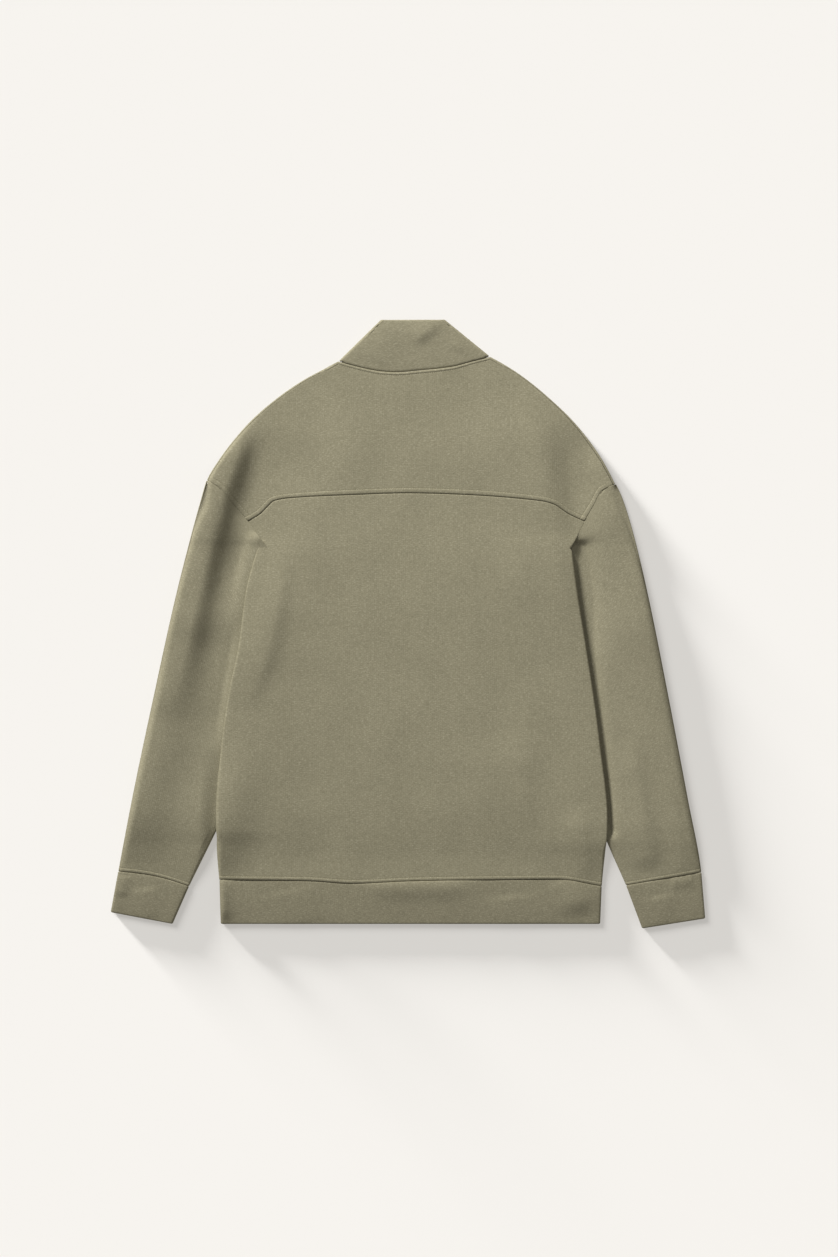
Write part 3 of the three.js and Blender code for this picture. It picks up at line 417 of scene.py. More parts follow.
def side_path(side, y, back):
    """Distances and heights of one side of the back or the front, from its fold to its sewn edge."""
    k = np.arange(ARCS + 1)
    y = y[:, None]
    edge = side.edge(y) - (0 if back else side.inset(y))
    up = -1 if back else 1
    top = back_z(side.sign * (edge - 2), y) + HALF if back else HALF + 0 * y
    flap = np.minimum(TUCK_BACK_Z + HALF - 2 * BACK_TURN, top - 2) if back else top + 2 * FRONT_TURN
    radius = np.maximum(np.abs(top - flap) / 2, 1.0)
    radius_x = np.minimum(radius, 3.2)
    centre = edge - radius_x - HALF
    angle = math.pi * k / ARCS
    tuck_x = centre + radius_x * np.sin(angle)
    tuck_z = top + up * radius * (1 - np.cos(angle))
    sewn = np.where(y > UNDERARM_Y, side.armhole(y), side.inner(y) - 8)
    joined = 1 - ease(UNDERARM_Y - 22, UNDERARM_Y - 2, y)
    flat_z = top + up * 2 * radius
    other_z = (HALF + 2 * FRONT_TURN) if back else TUCK_BACK_Z + HALF - 2 * BACK_TURN
    meet = (flat_z + other_z) / 2 - up * (HALF + SEAM / 2)
    tuck_x = np.hstack([tuck_x, np.minimum(sewn + 7, centre - 0.5), np.minimum(sewn, centre - 2)])
    tuck_z = np.hstack([tuck_z, flat_z, mix(flat_z, meet, joined)])

    top_z = back_z(side.sign * side.edge(y), y) + HALF
    plain = np.maximum((top_z - HALF) / 2 - 0.5, 0.3)
    angle = math.pi / 2 * k / ARCS
    start = top if back else HALF + 0 * y
    hang_x = edge - plain - HALF + plain * np.sin(angle)
    hang_z = start + up * plain * (1 - np.cos(angle))
    hang_x = np.hstack([hang_x, hang_x[:, -1:], hang_x[:, -1:]])
    hang_z = np.hstack([hang_z, hang_z[:, -1:] + up * 0.18, hang_z[:, -1:] + up * 0.35])

    outer = side.armhole(y) - SEAM / 2
    steps = np.array([8.5, 7, 5.6, 4.2, 3.0, 2.0, 1.3, 0.8, 0.45, 0.2, 0])
    open_x = outer - steps
    if back:
        open_z = back_z(side.sign * open_x, y) + HALF + ditch(steps)
    else:
        open_z = HALF + 0 * open_x

    hang = 1 - ease(side.lower - 23, side.lower, y)
    opened = ease(side.crossing - 5, side.crossing, y)
    x = mix(mix(tuck_x, hang_x, hang), open_x, opened)
    z = mix(mix(tuck_z, hang_z, hang), open_z, opened)
    return x, z


def body_grid(left_y, back, parts):
    """Middle of the back or front below the yoke seam's ends, one row for each height on the left."""
    pairs = np.array(ROW_PAIRS, float)
    right_y = np.interp(left_y, pairs[:, 0], pairs[:, 1])
    lx, lz = side_path(LEFT, left_y, back)
    rx, rz = side_path(RIGHT, right_y, back)
    start, end = [
        np.where(y < side.crossing, np.minimum(
            first_x, side.edge(y) - 4.1 - 4.95 * ease(side.crossing - 40, side.crossing, y)), first_x)
        for side, y, first_x in ((LEFT, left_y, lx[:, 0]), (RIGHT, right_y, rx[:, 0]))]
    start = -start
    share = np.arange(1, parts) / parts
    mx = mix(start[:, None], end[:, None], share)
    x = np.hstack([-lx[:, ::-1], mx, rx])
    over = np.hstack([0 * lx, share + 0 * mx, 0 * rx + 1])
    y = mix(left_y[:, None], right_y[:, None], over)
    from_hem = left_y[:, None] - pairs[0, 0]
    hem_share = 1 - ease(12, 70, from_hem)
    y = y + hem_share * (hem_y(x) - mix(pairs[0, 0], pairs[0, 1], over))
    to_yoke = pairs[-1, 0] - left_y[:, None]
    from_side = ease(9, 60, np.minimum(x[-1:] - x[-1, 0], x[-1, -1] - x[-1:]))
    yoke_share = 1 - ease(mix(1, 9, from_side), mix(20, 100, from_side), to_yoke)
    level = y
    y = y + yoke_share * (yoke_y(x[-1:]) - pairs[-1, 0])
    y = y + SEAM / 2 * (1 - from_hem / (from_hem + to_yoke)) - SEAM / 2 * from_hem / (from_hem + to_yoke)
    mz = (back_z(mx, y[:, lx.shape[1]:lx.shape[1] + parts - 1]) + HALF) if back else HALF + 0 * mx
    z = np.hstack([lz[:, ::-1], mz, rz])
    if back:
        for part in (slice(0, lx.shape[1]), slice(-rx.shape[1], None)):
            z[:, part] += back_z(x[:, part], y[:, part]) - back_z(x[:, part], level[:, part])
    return np.stack([x, y, z], 2), from_hem, to_yoke


HEM_STITCH = 4.6
CUFF_STITCH = 4.6
YOKE_STITCH = 6.2
NECK_STITCH = 3.6
first, last = ROW_PAIRS[0][0], ROW_PAIRS[-1][0]


def back_panel():
    s = spread([last - first], stitched_edge(HEM_STITCH), CUT_EDGE, 166)[:, 0]
    grid, from_hem, to_yoke = body_grid(first + s, True, 158)
    grid[..., 2] += allowance(from_hem, HEM_STITCH) + ditch(from_hem) + ditch(to_yoke)
    uv = grid[..., :2].copy()
    thick = CLOTH * soft_edge(np.minimum(from_hem, to_yoke)) + 0 * grid[..., 0]
    return Cloth("back_panel", grid, thick, uv)


def upper_curve(parts_left, parts_neck, neck_points, gap):
    """Points along shoulder, neck and shoulder, from the left tip to the right one."""
    left_y = np.linspace(183.2, 335, 400)
    right_y = np.linspace(341, 178.2, 400)
    left = np.stack([-LEFT.outline(left_y), left_y], 1)
    right = np.stack([RIGHT.outline(right_y), right_y], 1)
    left[0, 0] += gap
    right[-1, 0] -= gap
    out = []
    for curve, at in ((left, parts_left), (neck_points, parts_neck), (right, 1 - parts_left[::-1])):
        d = np.concatenate([[0], np.cumsum(np.hypot(*np.diff(curve, axis=0).T))])
        d /= d[-1]
        out.append(np.stack([np.interp(at, d, curve[:, 0]), np.interp(at, d, curve[:, 1])], 1))
    return np.vstack(out)


def yoke():
    width = YOKE_RIGHT_X - YOKE_LEFT_X - SEAM
    side_share = 0.33
    arm_steps = np.array(stitched_edge(YOKE_STITCH)[:-1])
    side_length = side_share * width
    side_low = np.concatenate([arm_steps, np.linspace(arm_steps[-1], side_length, 44)[1:]])
    neck_low = np.linspace(0, 1, 62)[1:-1]
    low_x = np.concatenate([
        YOKE_LEFT_X + SEAM / 2 + side_low,
        mix(YOKE_LEFT_X + SEAM / 2 + side_length, YOKE_RIGHT_X - SEAM / 2 - side_length, neck_low),
        YOKE_RIGHT_X - SEAM / 2 - side_low[::-1]])
    lower = np.stack([low_x, yoke_y(low_x) + SEAM / 2], 1)
    neck_x = np.linspace(NECK_LEFT[0], NECK_RIGHT[0], 200)
    neck = np.stack([neck_x, neck_y(neck_x) - SEAM / 2], 1)
    shoulder = 231.0
    t = side_low / side_length
    at = (side_low + (shoulder - side_length) * t * t) / shoulder
    neck_at = np.linspace(0, 1, 62)[1:-1]
    upper = upper_curve(at, neck_at, neck, SEAM / 2)
    chord = np.hypot(*(upper - lower).T)
    d = spread(chord, stitched_edge(YOKE_STITCH), stitched_edge(NECK_STITCH)[:-1], 52)
    t = d / chord
    x = mix(lower[:, 0], upper[:, 0], t)
    y = mix(lower[:, 1], upper[:, 1], t)
    n = len(side_low)
    from_arm = np.full(x.shape[1], 1e3)
    from_arm[:n] = side_low
    from_arm[-n:] = side_low[::-1]
    for side, column, half in ((LEFT, 0, slice(0, n)), (RIGHT, -1, slice(-n, None))):
        curved = side.sign * (side.armhole(y[:, column]) - SEAM / 2)
        shift = curved - x[:, column]
        x[:, half] += shift[:, None] * (1 - ease(9, 120, from_arm[half]))
    z = back_z(x, y) + HALF
    to_top = chord - d
    is_neck = np.zeros(x.shape[1])
    is_neck[n - 3:len(low_x) - n + 3] = 1
    z += allowance(d, YOKE_STITCH) + ditch(d)
    z += (allowance(from_arm, YOKE_STITCH, 0.45) + ditch(from_arm)) * ease(0, 12, to_top)
    z += (allowance(to_top, NECK_STITCH, 0.4) + ditch(to_top)) * is_neck
    thick = CLOTH * soft_edge(np.minimum(np.minimum(d, to_top), from_arm))
    return Cloth("back_yoke", np.stack([x, y, z], 2), thick, np.stack([x, y], 2)), n


def front_neck(parts):
    angle = np.linspace(-math.pi / 2, math.pi / 2, parts)
    corner_x = np.where(angle < 0, NECK_LEFT[0], NECK_RIGHT[0])
    corner_y = np.where(angle < 0, NECK_LEFT[1], NECK_RIGHT[1])
    x = mix(NECK_MIDDLE_X, corner_x, np.abs(np.sin(angle)))
    y = mix(corner_y, NECK_FRONT_Y, np.cos(angle))
    return np.stack([x, y], 1)


def front_panel():
    s = np.linspace(0, 108 - first, 90)
    grid, _, _ = body_grid(first + s, False, 90)
    lower = grid[-1]
    n = 34
    count = lower.shape[0]
    at = np.linspace(0, 1, n)
    neck = front_neck(count - 2 * n)
    neck[:, 1] -= SEAM / 2
    upper = upper_curve(at, np.linspace(0, 1, count - 2 * n), neck, SEAM / 2)
    t = np.linspace(0, 1, 44)[1:, None]
    x = mix(lower[:, 0], upper[:, 0], t)
    y = mix(lower[:, 1], upper[:, 1], t)
    share = np.abs(np.linspace(-1, 1, count))
    for side, column, half in ((LEFT, 0, slice(0, n)), (RIGHT, -1, slice(-n, None))):
        shift = side.sign * (side.armhole(y[:, column]) - SEAM / 2) - x[:, column]
        x[:, half] += shift[:, None] * ease(0.4, 0.97, share[half])
    more = np.stack([x, y, np.full_like(x, HALF)], 2)
    grid = np.concatenate([grid, more])
    return Cloth("front_panel", grid, CLOTH, grid[..., :2].copy())


# ---------- sleeves and bands ----------
def flat_round(plan, low, high, top, bottom, gap, width):
    """Rings of cloth lying flat between an outer and an inner folded edge."""
    parts = []

    def turn(share, inward):
        x, y = plan(share)
        z0, z1 = low(x, y), high(x, y)
        radius = (z1 - z0) / 2
        fx, fy = plan(share + inward * 10 / width)
        far = np.hypot(fx - x, fy - y)
        k = np.arange(ARCS + 1)
        angle = math.pi * (k if inward > 0 else ARCS - k) / ARCS
        inside = (radius + gap - radius * np.sin(angle)) / far
        parts.append(np.stack([x + (fx - x) * inside, y + (fy - y) * inside,
                               (z0 + z1) / 2 - radius * np.cos(angle)], 2))

    turn(np.zeros_like(width), 1)
    x, y = plan(top)
    parts.append(np.stack([x, y, high(x, y)], 2))
    turn(np.ones_like(width), -1)
    x, y = plan(bottom)
    parts.append(np.stack([x, y, low(x, y)], 2))
    return np.concatenate(parts, axis=1)


def sleeve_plan(side, along):
    seam = side.cuff_seam
    outer_y = mix(side.tip, seam["outer"] + SEAM / 2, along)
    inner_y = mix(UNDERARM_Y, seam["inner"] + SEAM / 2, along)
    outer_x, inner_x = side.outline(outer_y), side.inner(inner_y)
    near = np.clip(1 - along / 0.3, 0, 1) ** 2

    def plan(share):
        y = mix(outer_y, inner_y, share) + seam["bow"] * np.sin(math.pi * np.clip(share, 0, 1)) * along ** 2
        x = mix(outer_x, inner_x, share)
        pull = near * ease(0, 0.012 + 0.5 * along, share) * (1 - ease(0.9, 1, share))
        return side.sign * mix(x, side.armhole(y) + side.arm_ease, pull), y

    return plan


def crossing(plan, edge_at, limit, rows):
    low, high = np.zeros((rows, 1)), np.ones((rows, 1))
    x, y = plan(high)
    never = np.abs(x) - edge_at(y) > 0
    for _ in range(26):
        middle = (low + high) / 2
        x, y = plan(middle)
        outside = np.abs(x) - edge_at(y) > 0
        low, high = np.where(outside, middle, low), np.where(outside, high, middle)
    return np.where(never, limit, np.clip(low, 0.3, limit))


def fixed_shares(table):
    return np.array(table, float)[None, :]


def sleeve(name, side):
    length = 505.0
    s = spread([length], CUT_EDGE, stitched_edge(CUFF_STITCH), 172)
    along = s / length
    rows = len(s)
    plan = sleeve_plan(side, along)
    x0, _ = plan(np.zeros_like(along))
    x1, _ = plan(np.ones_like(along))
    width = np.abs(x1 - x0)
    at_fold = crossing(plan, side.edge, 0.9, rows)
    at_climb = crossing(plan, lambda y: side.edge(y) - side.inset(y) + 14, 0.84, rows)
    on_front = np.maximum(crossing(plan, lambda y: side.edge(y) - side.inset(y) + 1, 0.93, rows),
                          at_climb + 0.02)
    past = np.minimum(14 / width, 0.5 * (0.97 - on_front))
    near = 9 / width
    t = np.arange(52)[None, :] / 51
    close = mix(0.45, 1, ease(0, 0.08, along)) / width
    top = np.hstack([fixed_shares([2.2, 3, 4, 5.5, 7]) * close, mix(near, at_fold, t),
                     mix(at_fold, 0.985 - 6 / width, fixed_shares([.1, .25, .5, .75, 1]))])
    bottom = np.hstack([0.98 - 8 / width, on_front + past, on_front, mix(on_front, at_climb, 0.5), at_climb,
                        mix(near, at_climb, fixed_shares([.85, .7, .55, .4, .25, .1]))])
    bottom[:, 0] = np.maximum(bottom[:, 0], bottom[:, 1] + 0.004)
    grid = flat_round(plan, lambda x, y: sleeve_bottom_z(side, x, y) + HALF,
                      lambda x, y: sleeve_top_z(side, x, y) + HALF, top, bottom, HALF, width)
    from_cuff = (length - s)
    is_top = np.zeros(grid.shape[1])
    is_top[ARCS // 2:ARCS // 2 + top.shape[1] + ARCS] = 1
    grid[..., 2] += (allowance(from_cuff, CUFF_STITCH, 0.45) + ditch(from_cuff) + ditch(s)) * is_top
    thick = CLOTH * soft_edge(np.minimum(s, from_cuff)) + 0 * grid[..., 0]
    step = np.linalg.norm(np.diff(grid, axis=1, append=grid[:, :1]), axis=2)
    around = np.cumsum(step, axis=1) - step
    uv = np.stack([around - around[:, 20:21], -s + 0 * around], 2)
    return Cloth(name, grid, thick, uv, closed=True)


# Creases of the bands. Columns as for the body's creases.
BAND_CREASES = [
    ([(-243, -318), (-242, -355), (-239, -392)], 3.6, 16, 9, .2, .35),
    ([(-80, -328), (15, -335), (104, -329)], 2.6, 14, 16, .35, .35),
    ([(206, -318), (216, -345), (222, -378)], 2.4, 16, 24, .2, .4),
    ([(-150, -335), (-138, -390)], 0.8, 30, 34, .2, .2),
    ([(130, -345), (136, -392)], 0.8, 34, 26, .2, .2),
    ([(-364, -322), (-368, -352)], 1.4, 9, 12, .1, .4),
    ([(-335, -335), (-330, -380)], 0.9, 14, 16, .2, .2),
    ([(334, -330), (352, -328), (366, -324)], 1.3, 12, 9, .2, .2),
    ([(322, -345), (328, -388)], 0.9, 14, 16, .2, .2)]


def band(name, outer, inner, parts, swell, thick=BAND):
    """A band sewn in a round. outer and inner give its two ends at a share of its height."""
    t = spread([1.0], BAND_SEAM_EDGE, BAND_FREE_EDGE, 24)
    rows = len(t)
    height = 53.0

    def plan(share):
        (ax, ay), (bx, by) = outer(t), inner(t)
        x = mix(ax, bx, share)
        return x, mix(ay, by, share) + swell(x, share, t)

    x0, _ = plan(np.zeros((rows, 1)))
    x1, _ = plan(np.ones((rows, 1)))
    width = np.abs(x1 - x0)
    shares = np.arange(1, parts) / parts + 0 * t
    end = 7 / width
    top = mix(end, 1 - end, shares)
    bottom = top[:, ::-6]

    def high(x, y):
        rise = larger(relief(x, y, BAND_CREASES) + 0.5 * unevenness(x, y) + 0.5, 0.1, 0.3)
        shape = 0.5 + 0.9 * np.sin(math.pi * np.clip(t, 0, 1)) ** 0.6
        return thick / 2 + thick + SEAM + rise * shape

    grid = flat_round(plan, lambda x, y: thick / 2 + 0 * x, high, top, bottom, thick / 2, width)
    d_seam, d_end = t * height, (1 - t) * height
    is_top = np.zeros(grid.shape[1])
    is_top[ARCS // 2:ARCS // 2 + top.shape[1] + ARCS] = 1
    grid[..., 2] += ditch(d_seam, 0.32, 1.5) * is_top
    thickness = thick * np.minimum(soft_edge(d_seam, 1.2), soft_edge(d_end, 1.7)) + 0 * grid[..., 0]
    step = np.linalg.norm(np.diff(grid, axis=1, append=grid[:, :1]), axis=2)
    around = np.cumsum(step, axis=1) - step
    return Cloth(name, grid, thickness, np.stack([around, -t * height + 0 * around], 2), closed=True,
                 slot="band_knit")


def cuff(name, side):
    seam, ((ox, oy), (ix, iy)) = side.cuff_seam, side.cuff_end
    return band(
        name,
        lambda t: (side.sign * mix(side.outline(seam["outer"]), ox, t),
                   mix(seam["outer"] - SEAM / 2, oy, t)),
        lambda t: (side.sign * mix(side.inner(seam["inner"]), ix, t),
                   mix(seam["inner"] - SEAM / 2, iy, t)),
        44, lambda x, share, t: seam["bow"] * np.sin(math.pi * np.clip(share, 0, 1)) * (1 - t))


def hem_band():
    return band(
        "hem_band",
        lambda t: (mix(HEM_LEFT[0], -239.4, t), mix(HEM_LEFT[1] - SEAM / 2, HEM_END_Y, t)),
        lambda t: (mix(HEM_RIGHT[0], 245.8, t), mix(HEM_RIGHT[1] - SEAM / 2, HEM_END_Y, t)),
        200, lambda x, share, t: (hem_y(x) - mix(HEM_LEFT[1], HEM_RIGHT[1], share)) * (1 - t))


# ---------- collar ----------
COLLAR_CREASES = [
    ([(54, 398), (30, 379), (0, 356)], 2.4, 9, 26, .1, .35),
    ([(-50, 330), (-40, 362), (-30, 392)], 1.2, 26, 30, .2, .2),
    ([(60, 345), (66, 362), (52, 392)], 1.3, 14, 18, .2, .2)]


def collar():
    fold, low_z = 2.0, COLLAR / 2
    high_z = low_z + 2 * fold
    corners = ((-1, *NECK_LEFT, COLLAR_TOP[0]), (1, *NECK_RIGHT, COLLAR_TOP[1]))

    def half(sign, base_x, base_y, top_x):
        t = np.linspace(0, 1, 30)[:-1]
        angle = math.pi / 2 * t
        slit = sign * 0.3 * (1 - t)
        bx = mix(NECK_MIDDLE_X, base_x, np.sin(angle)) + slit - sign * SEAM * np.sin(angle)
        by = mix(base_y, NECK_FRONT_Y, np.cos(angle)) + SEAM / 2
        tx = mix(NECK_MIDDLE_X, top_x, np.sin(angle)) + slit
        ty = mix(COLLAR_TOP_Y, 310.0, np.cos(angle))
        return np.stack([bx, by, tx, ty, 0 * t + low_z], 1)

    def turn(sign, base_x, base_y, top_x):
        angle = math.pi * np.arange(13) / 12
        inset = (fold + COLLAR / 2 - fold * np.sin(angle)) * math.sqrt(2)
        return np.stack([base_x - sign * inset, base_y + SEAM / 2 + 0 * angle, top_x - sign * inset,
                         COLLAR_TOP_Y + 0 * angle, low_z + fold * (1 - np.cos(angle))], 1)

    bx = np.linspace(-89 + 7, 105 - 7, 84)
    tx = mix(-35.0, 47.5, (bx + 89) / 194)
    middle = np.stack([bx, neck_y(bx) + SEAM / 2, tx, COLLAR_TOP_Y + 0 * bx, high_z + 0 * bx], 1)
    columns = np.vstack([half(*corners[0]), turn(*corners[0]), middle, turn(*corners[1])[::-1],
                         half(*corners[1])[::-1]])
    t = spread([1.0], BAND_SEAM_EDGE, BAND_FREE_EDGE, 22)
    x = mix(columns[:, 0], columns[:, 2], t)
    y = mix(columns[:, 1], columns[:, 3], t)
    z = columns[:, 4] + 0 * t
    is_back = ease(high_z - 2.5, high_z, z)
    across = (x - mix(-89, -35, t)) / (mix(105, 47.5, t) - mix(-89, -35, t))
    inside = np.sqrt(np.clip(np.sin(math.pi * np.clip(across, 0, 1)), 0, 1))
    rise = larger(relief(x, y, COLLAR_CREASES) + 0.4 * unevenness(x, y) + 1.0, 0.0, 0.3)
    z = z + is_back * rise * inside * (0.4 + 0.8 * np.sin(math.pi * t) ** 0.6)
    height = 64.0
    z = z + ditch(t * height, 0.6, 2.2) * is_back
    thickness = COLLAR * np.minimum(soft_edge(t * height, 1.2), soft_edge((1 - t) * height, 1.7)) + 0 * z
    grid = np.stack([x, y, z], 2)
    step = np.linalg.norm(np.diff(grid, axis=1, append=grid[:, :1]), axis=2)
    around = np.cumsum(step, axis=1) - step
    return Cloth("collar", grid, thickness, np.stack([around, t * height + 0 * around], 2),
                 slot="band_knit")


# ---------- stitches ----------
def stitches(name, line, normal, pitch=3.1, length=2.35, radius=0.3, skip=2.0):
    """Short rounded threads laid along a line of points on the cloth."""
    step = np.linalg.norm(np.diff(line, axis=0), axis=1)
    d = np.concatenate([[0], np.cumsum(step)])

    def at(where, values):
        return np.stack([np.interp(where, d, values[:, i]) for i in range(3)], 1)

    centres = np.arange(skip, d[-1] - skip, pitch)
    rings = np.array([(-1.0, 0.0, -0.5), (-0.86, 0.62, -0.1), (-0.45, 1.0, 0.12), (0.0, 1.08, 0.16),
                      (0.45, 1.0, 0.12), (0.86, 0.62, -0.1), (1.0, 0.0, -0.5)])
    angle = 2 * math.pi * np.arange(6) / 6
    vertices, faces = [], []
    for centre in centres:
        where = centre + rings[:, 0] * length / 2
        p, n = at(where, line), at(where, normal)
        along = np.gradient(p, axis=0)
        along /= np.linalg.norm(along, axis=1, keepdims=True)
        n = n - along * np.einsum("ij,ij->i", n, along)[:, None]
        n /= np.linalg.norm(n, axis=1, keepdims=True)
        side = np.cross(along, n)
        base = len(vertices) * 42
        size = np.maximum(rings[:, 1], 0.08) * radius
        ring = (p + n * rings[:, 2:3] * radius)[:, None, :] \
            + size[:, None, None] * (np.cos(angle)[None, :, None] * side[:, None, :]
                                     + np.sin(angle)[None, :, None] * n[:, None, :])
        vertices.append(ring.reshape(-1, 3))
        for r in range(6):
            for k in range(6):
                m = (k + 1) % 6
                faces.append((base + r * 6 + k, base + r * 6 + m, base + r * 6 + 6 + m, base + r * 6 + 6 + k))
        faces.append((base + 5, base + 4, base + 3, base + 2, base + 1, base))
        faces.append(tuple(base + 36 + k for k in range(6)))
    piece = add_mesh(name, np.vstack(vertices), [list(f) for f in faces])
    piece.data.materials.append(thread_material)
    return piece


# ---------- materials ----------
def knit_material(name, colour, lighter, darker, rib=1.0):
    material = bpy.data.materials.new(name)
    material.use_nodes = True
    nodes, links = material.node_tree.nodes, material.node_tree.links
    nodes.clear()
    out = nodes.new("ShaderNodeOutputMaterial")
    shader = nodes.new("ShaderNodeBsdfPrincipled")
    links.new(shader.outputs["BSDF"], out.inputs["Surface"])
    shader.inputs["Roughness"].default_value = 0.92
    shader.inputs["Specular IOR Level"].default_value = 0.18
    shader.inputs["Sheen Weight"].default_value = 0.08
    shader.inputs["Sheen Roughness"].default_value = 0.55
    shader.inputs["Sheen Tint"].default_value = (*lighter, 1)
    uv = nodes.new("ShaderNodeUVMap")
    uv.uv_map = "cloth"

    def noise(scale_x, scale_y, detail, rough, offset=0.0):
        mapping = nodes.new("ShaderNodeMapping")
        mapping.inputs["Scale"].default_value = (scale_x, scale_y, 1)
        mapping.inputs["Location"].default_value = (offset, offset * 1.7, offset)
        links.new(uv.outputs["UV"], mapping.inputs["Vector"])
        node = nodes.new("ShaderNodeTexNoise")
        node.inputs["Scale"].default_value = 1.0
        node.inputs["Detail"].default_value = detail
        node.inputs["Roughness"].default_value = rough
        links.new(mapping.outputs["Vector"], node.inputs["Vector"])
        return node.outputs["Fac"]

    def math_node(kind, a, b, clamp=False):
        node = nodes.new("ShaderNodeMath")
        node.operation = kind
        node.use_clamp = clamp
        for i, value in enumerate((a, b)):
            if isinstance(value, (int, float)):
                node.inputs[i].default_value = value
            else:
                links.new(value, node.inputs[i])
        return node.outputs[0]

    def ramp(value, low, high):
        node = nodes.new("ShaderNodeMapRange")
        node.interpolation_type = "SMOOTHSTEP"
        node.inputs["From Min"].default_value = low
        node.inputs["From Max"].default_value = high
        links.new(value, node.inputs["Value"])
        return node.outputs["Result"]

    def mix_colour(factor, a, b):
        node = nodes.new("ShaderNodeMix")
        node.data_type = "RGBA"
        for socket, value in ((node.inputs["Factor"], factor), (node.inputs[6], a), (node.inputs[7], b)):
            if isinstance(value, tuple):
                socket.default_value = (*value, 1)
            elif isinstance(value, (int, float)):
                socket.default_value = value
            else:
                links.new(value, socket)
        return node.outputs[2]

    streak = noise(300, 760, 3.0, 0.65)
    fleck = noise(420, 1000, 3.0, 0.6, 3.1)
    mottle = noise(130, 190, 3.0, 0.6, 7.3)
    wide = noise(14, 18, 2.0, 0.5, 1.9)
    light_share = math_node("MULTIPLY", ramp(streak, 0.46, 0.70), 0.85)
    dark_share = math_node("MULTIPLY", ramp(fleck, 0.52, 0.74), 0.7)
    tone = mix_colour(light_share, colour, lighter)
    tone = mix_colour(dark_share, tone, darker)
    tone = mix_colour(math_node("MULTIPLY", ramp(mottle, 0.40, 0.72), 0.22), tone, darker)
    tone = mix_colour(math_node("MULTIPLY", ramp(wide, 0.35, 0.7), 0.10), tone, darker)
    links.new(tone, shader.inputs["Base Color"])

    # rows of loops under a brushed surface
    wave = nodes.new("ShaderNodeTexWave")
    wave.wave_type = "BANDS"
    wave.bands_direction = "X"
    wave.inputs["Scale"].default_value = 1000 / LOOP_PITCH / 6.2832
    wave.inputs["Distortion"].default_value = 1.2
    wave.inputs["Detail"].default_value = 1.0
    wave.inputs["Detail Scale"].default_value = 2.0
    links.new(uv.outputs["UV"], wave.inputs["Vector"])
    fuzz = noise(1500, 2600, 4.0, 0.7, 5.0)
    lumps = noise(300, 360, 3.0, 0.6, 2.2)
    height = math_node("ADD", math_node("MULTIPLY", wave.outputs["Fac"], 0.25 * rib),
                       math_node("ADD", math_node("MULTIPLY", fuzz, 0.6), math_node("MULTIPLY", lumps, 0.8)))
    bump = nodes.new("ShaderNodeBump")
    bump.inputs["Strength"].default_value = 0.5
    bump.inputs["Distance"].default_value = 0.00035
    links.new(height, bump.inputs["Height"])
    links.new(bump.outputs["Normal"], shader.inputs["Normal"])
    return material


def plain_material(name, colour, roughness=0.8):
    material = bpy.data.materials.new(name)
    material.use_nodes = True
    shader = material.node_tree.nodes["Principled BSDF"]
    shader.inputs["Base Color"].default_value = (*colour, 1)
    shader.inputs["Roughness"].default_value = roughness
    shader.inputs["Specular IOR Level"].default_value = 0.2
    return material


knit = knit_material(
    "brushed_melange_knit", (0.275, 0.250, 0.165), (0.40, 0.37, 0.26), (0.165, 0.15, 0.095))
band_knit = knit_material(
    "band_knit", (0.236, 0.214, 0.141), (0.345, 0.318, 0.222), (0.14, 0.126, 0.081), 1.2)
thread_material = plain_material("thread", (0.20, 0.183, 0.118), 0.7)

# ---------- build ----------
back = back_panel()
top, side_columns = yoke()
front = front_panel()
arm_left, arm_right = sleeve("sleeve_left", LEFT), sleeve("sleeve_right", RIGHT)
cuff_left, cuff_right = cuff("cuff_left", LEFT), cuff("cuff_right", RIGHT)
hem = hem_band()
neck_band = collar()
for cloth, material in ((back, knit), (top, knit), (front, knit), (arm_left, knit), (arm_right, knit),
                        (cuff_left, band_knit), (cuff_right, band_knit), (hem, band_knit),
                        (neck_band, knit)):
    cloth.object.data.materials.append(material)

# The row of stitches has the same place in every stitched edge.
row = stitched_edge(6).index(6)
visible = slice(ARCS + 2, -ARCS - 2)
stitches("hem_stitches", back.outer[row, visible], back.normal[row, visible])
stitches("yoke_stitches", top.outer[row, 8:-8], top.normal[row, 8:-8])
neck_row = -1 - row
neck_columns = slice(side_columns, -side_columns)
stitches("neck_stitches", top.outer[neck_row, neck_columns], top.normal[neck_row, neck_columns], 2.9, 2.2)
for name, column in (("armhole_stitches_left", row), ("armhole_stitches_right", -1 - row)):
    stitches(name, top.outer[row + 1:-row, column], top.normal[row + 1:-row, column])
for name, arm in (("cuff_stitches_left", arm_left), ("cuff_stitches_right", arm_right)):
    across = slice(ARCS // 2 + 2, ARCS + 62)
    outward = 1 if arm is arm_right else -1
    stitches(name, arm.outer[-1 - row, across], arm.normal[-1 - row, across] * outward)

# Width, length and area of each piece, metres; bands as folded. The areas come from the volumes and
# walls of the CAD's solids, and the widths and lengths are estimates.
FLATS = {
    "front_panel": (0.60, 0.68, 0.307), "back_panel": (0.61, 0.51, 0.266), "back_yoke": (0.53, 0.215, 0.071),
    "sleeve_left": (0.38, 0.53, 0.129), "sleeve_right": (0.38, 0.53, 0.126),
    "cuff_left": (0.175, 0.054, 0.0090), "cuff_right": (0.185, 0.056, 0.0098),
    "hem_band": (0.985, 0.057, 0.053), "collar": (0.42, 0.066, 0.0235)}
for name, (width, length, area) in FLATS.items():
    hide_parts(name)

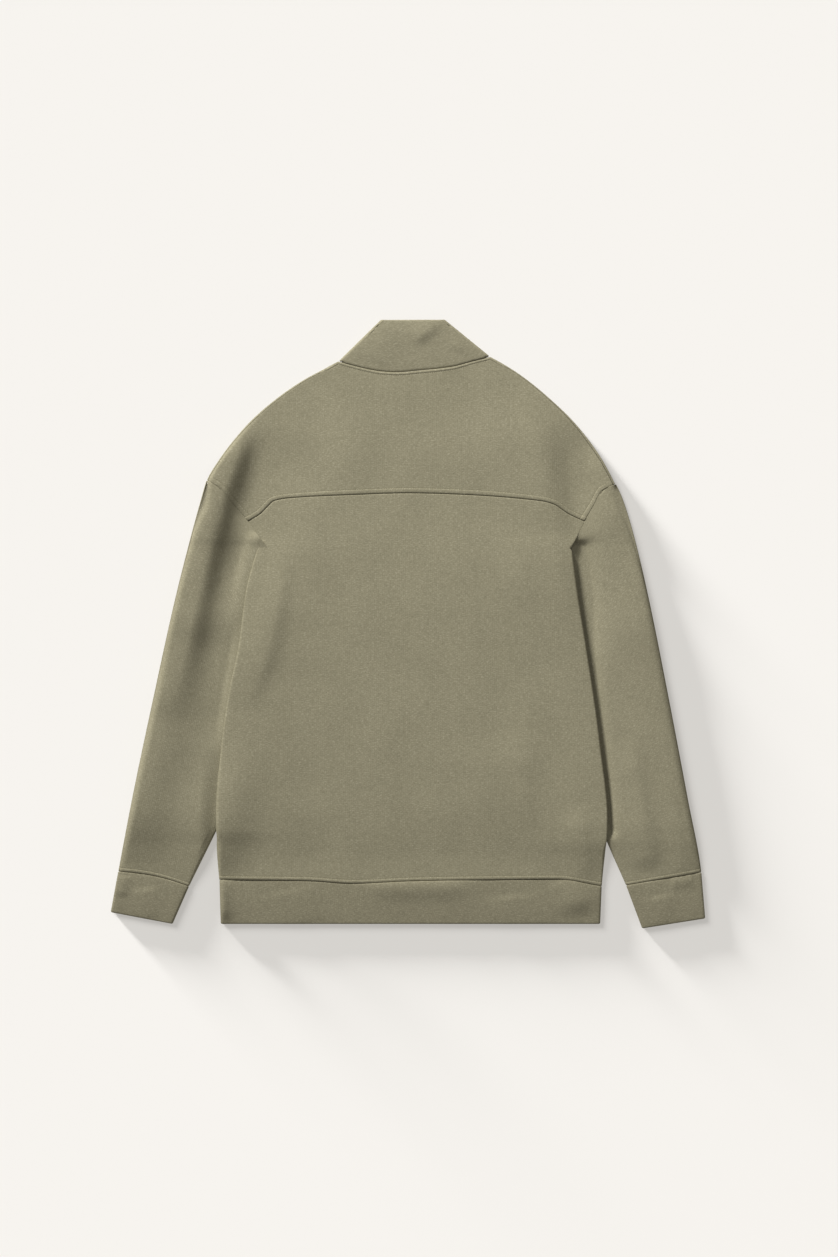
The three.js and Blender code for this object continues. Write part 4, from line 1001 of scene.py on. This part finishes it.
# ---------- floor, lights, camera ----------
floor_mesh = bpy.data.meshes.new("floor")
floor_mesh.from_pydata([(-6, -6, 0), (6, -6, 0), (6, 6, 0), (-6, 6, 0)], [], [(0, 1, 2, 3)])
floor = bpy.data.objects.new("floor", floor_mesh)
bpy.context.collection.objects.link(floor)
floor.location.z = -0.0002
paper = plain_material("paper", (0.30, 0.293, 0.282), 0.9)
shader = paper.node_tree.nodes["Principled BSDF"]
shader.inputs["Specular IOR Level"].default_value = 0.0
shader.inputs["Emission Color"].default_value = (1, 0.967, 0.911, 1)
shader.inputs["Emission Strength"].default_value = 0.41
floor_mesh.materials.append(paper)

world = bpy.data.worlds.new("studio")
bpy.context.scene.world = world
world.use_nodes = True
world.node_tree.nodes["Background"].inputs["Color"].default_value = (1, 1, 1, 1)
world.node_tree.nodes["Background"].inputs["Strength"].default_value = 0.30


def sun(name, strength, angle, elevation, azimuth):
    light = bpy.data.lights.new(name, "SUN")
    light.energy = strength
    light.angle = math.radians(angle)
    lamp = bpy.data.objects.new(name, light)
    lamp.rotation_euler = (0, math.radians(90 - elevation), math.radians(azimuth))
    bpy.context.collection.objects.link(lamp)
    return lamp


def area(name, power, size, place, aim):
    light = bpy.data.lights.new(name, "AREA")
    light.shape = "DISK"
    light.energy = power
    light.size = size
    lamp = bpy.data.objects.new(name, light)
    lamp.location = place
    lamp.rotation_euler = (Vector(aim) - Vector(place)).to_track_quat("-Z", "Y").to_euler()
    bpy.context.collection.objects.link(lamp)
    return lamp


# The garment and the floor are lit apart, each by lights linked to it alone.
key = area("low_key", 1480, 2.25, (-3.66, 6.84, 3.6), (3.75, 4.6, 0))
floor_key = sun("floor_key", 3.86, 24, 28, 134)
graze = sun("floor_graze", 44, 7, 3.5, 132)
garment = bpy.data.collections.new("garment")
for piece in pieces.values():
    garment.objects.link(piece)
key.light_linking.receiver_collection = garment
floor_only = bpy.data.collections.new("floor_only")
floor_only.objects.link(floor)
for lamp in (floor_key, graze):
    lamp.light_linking.receiver_collection = floor_only

camera_data = bpy.data.cameras.new("camera")
camera = bpy.data.objects.new("camera", camera_data)
bpy.context.collection.objects.link(camera)
camera.location = (0.0141, -0.0064, CAMERA_HEIGHT)
camera_data.sensor_width = 36
camera_data.lens = 36 * CAMERA_HEIGHT / VIEW_HEIGHT
camera_data.clip_end = 50
bpy.context.scene.camera = camera
bpy.context.scene.view_settings.view_transform = "Standard"
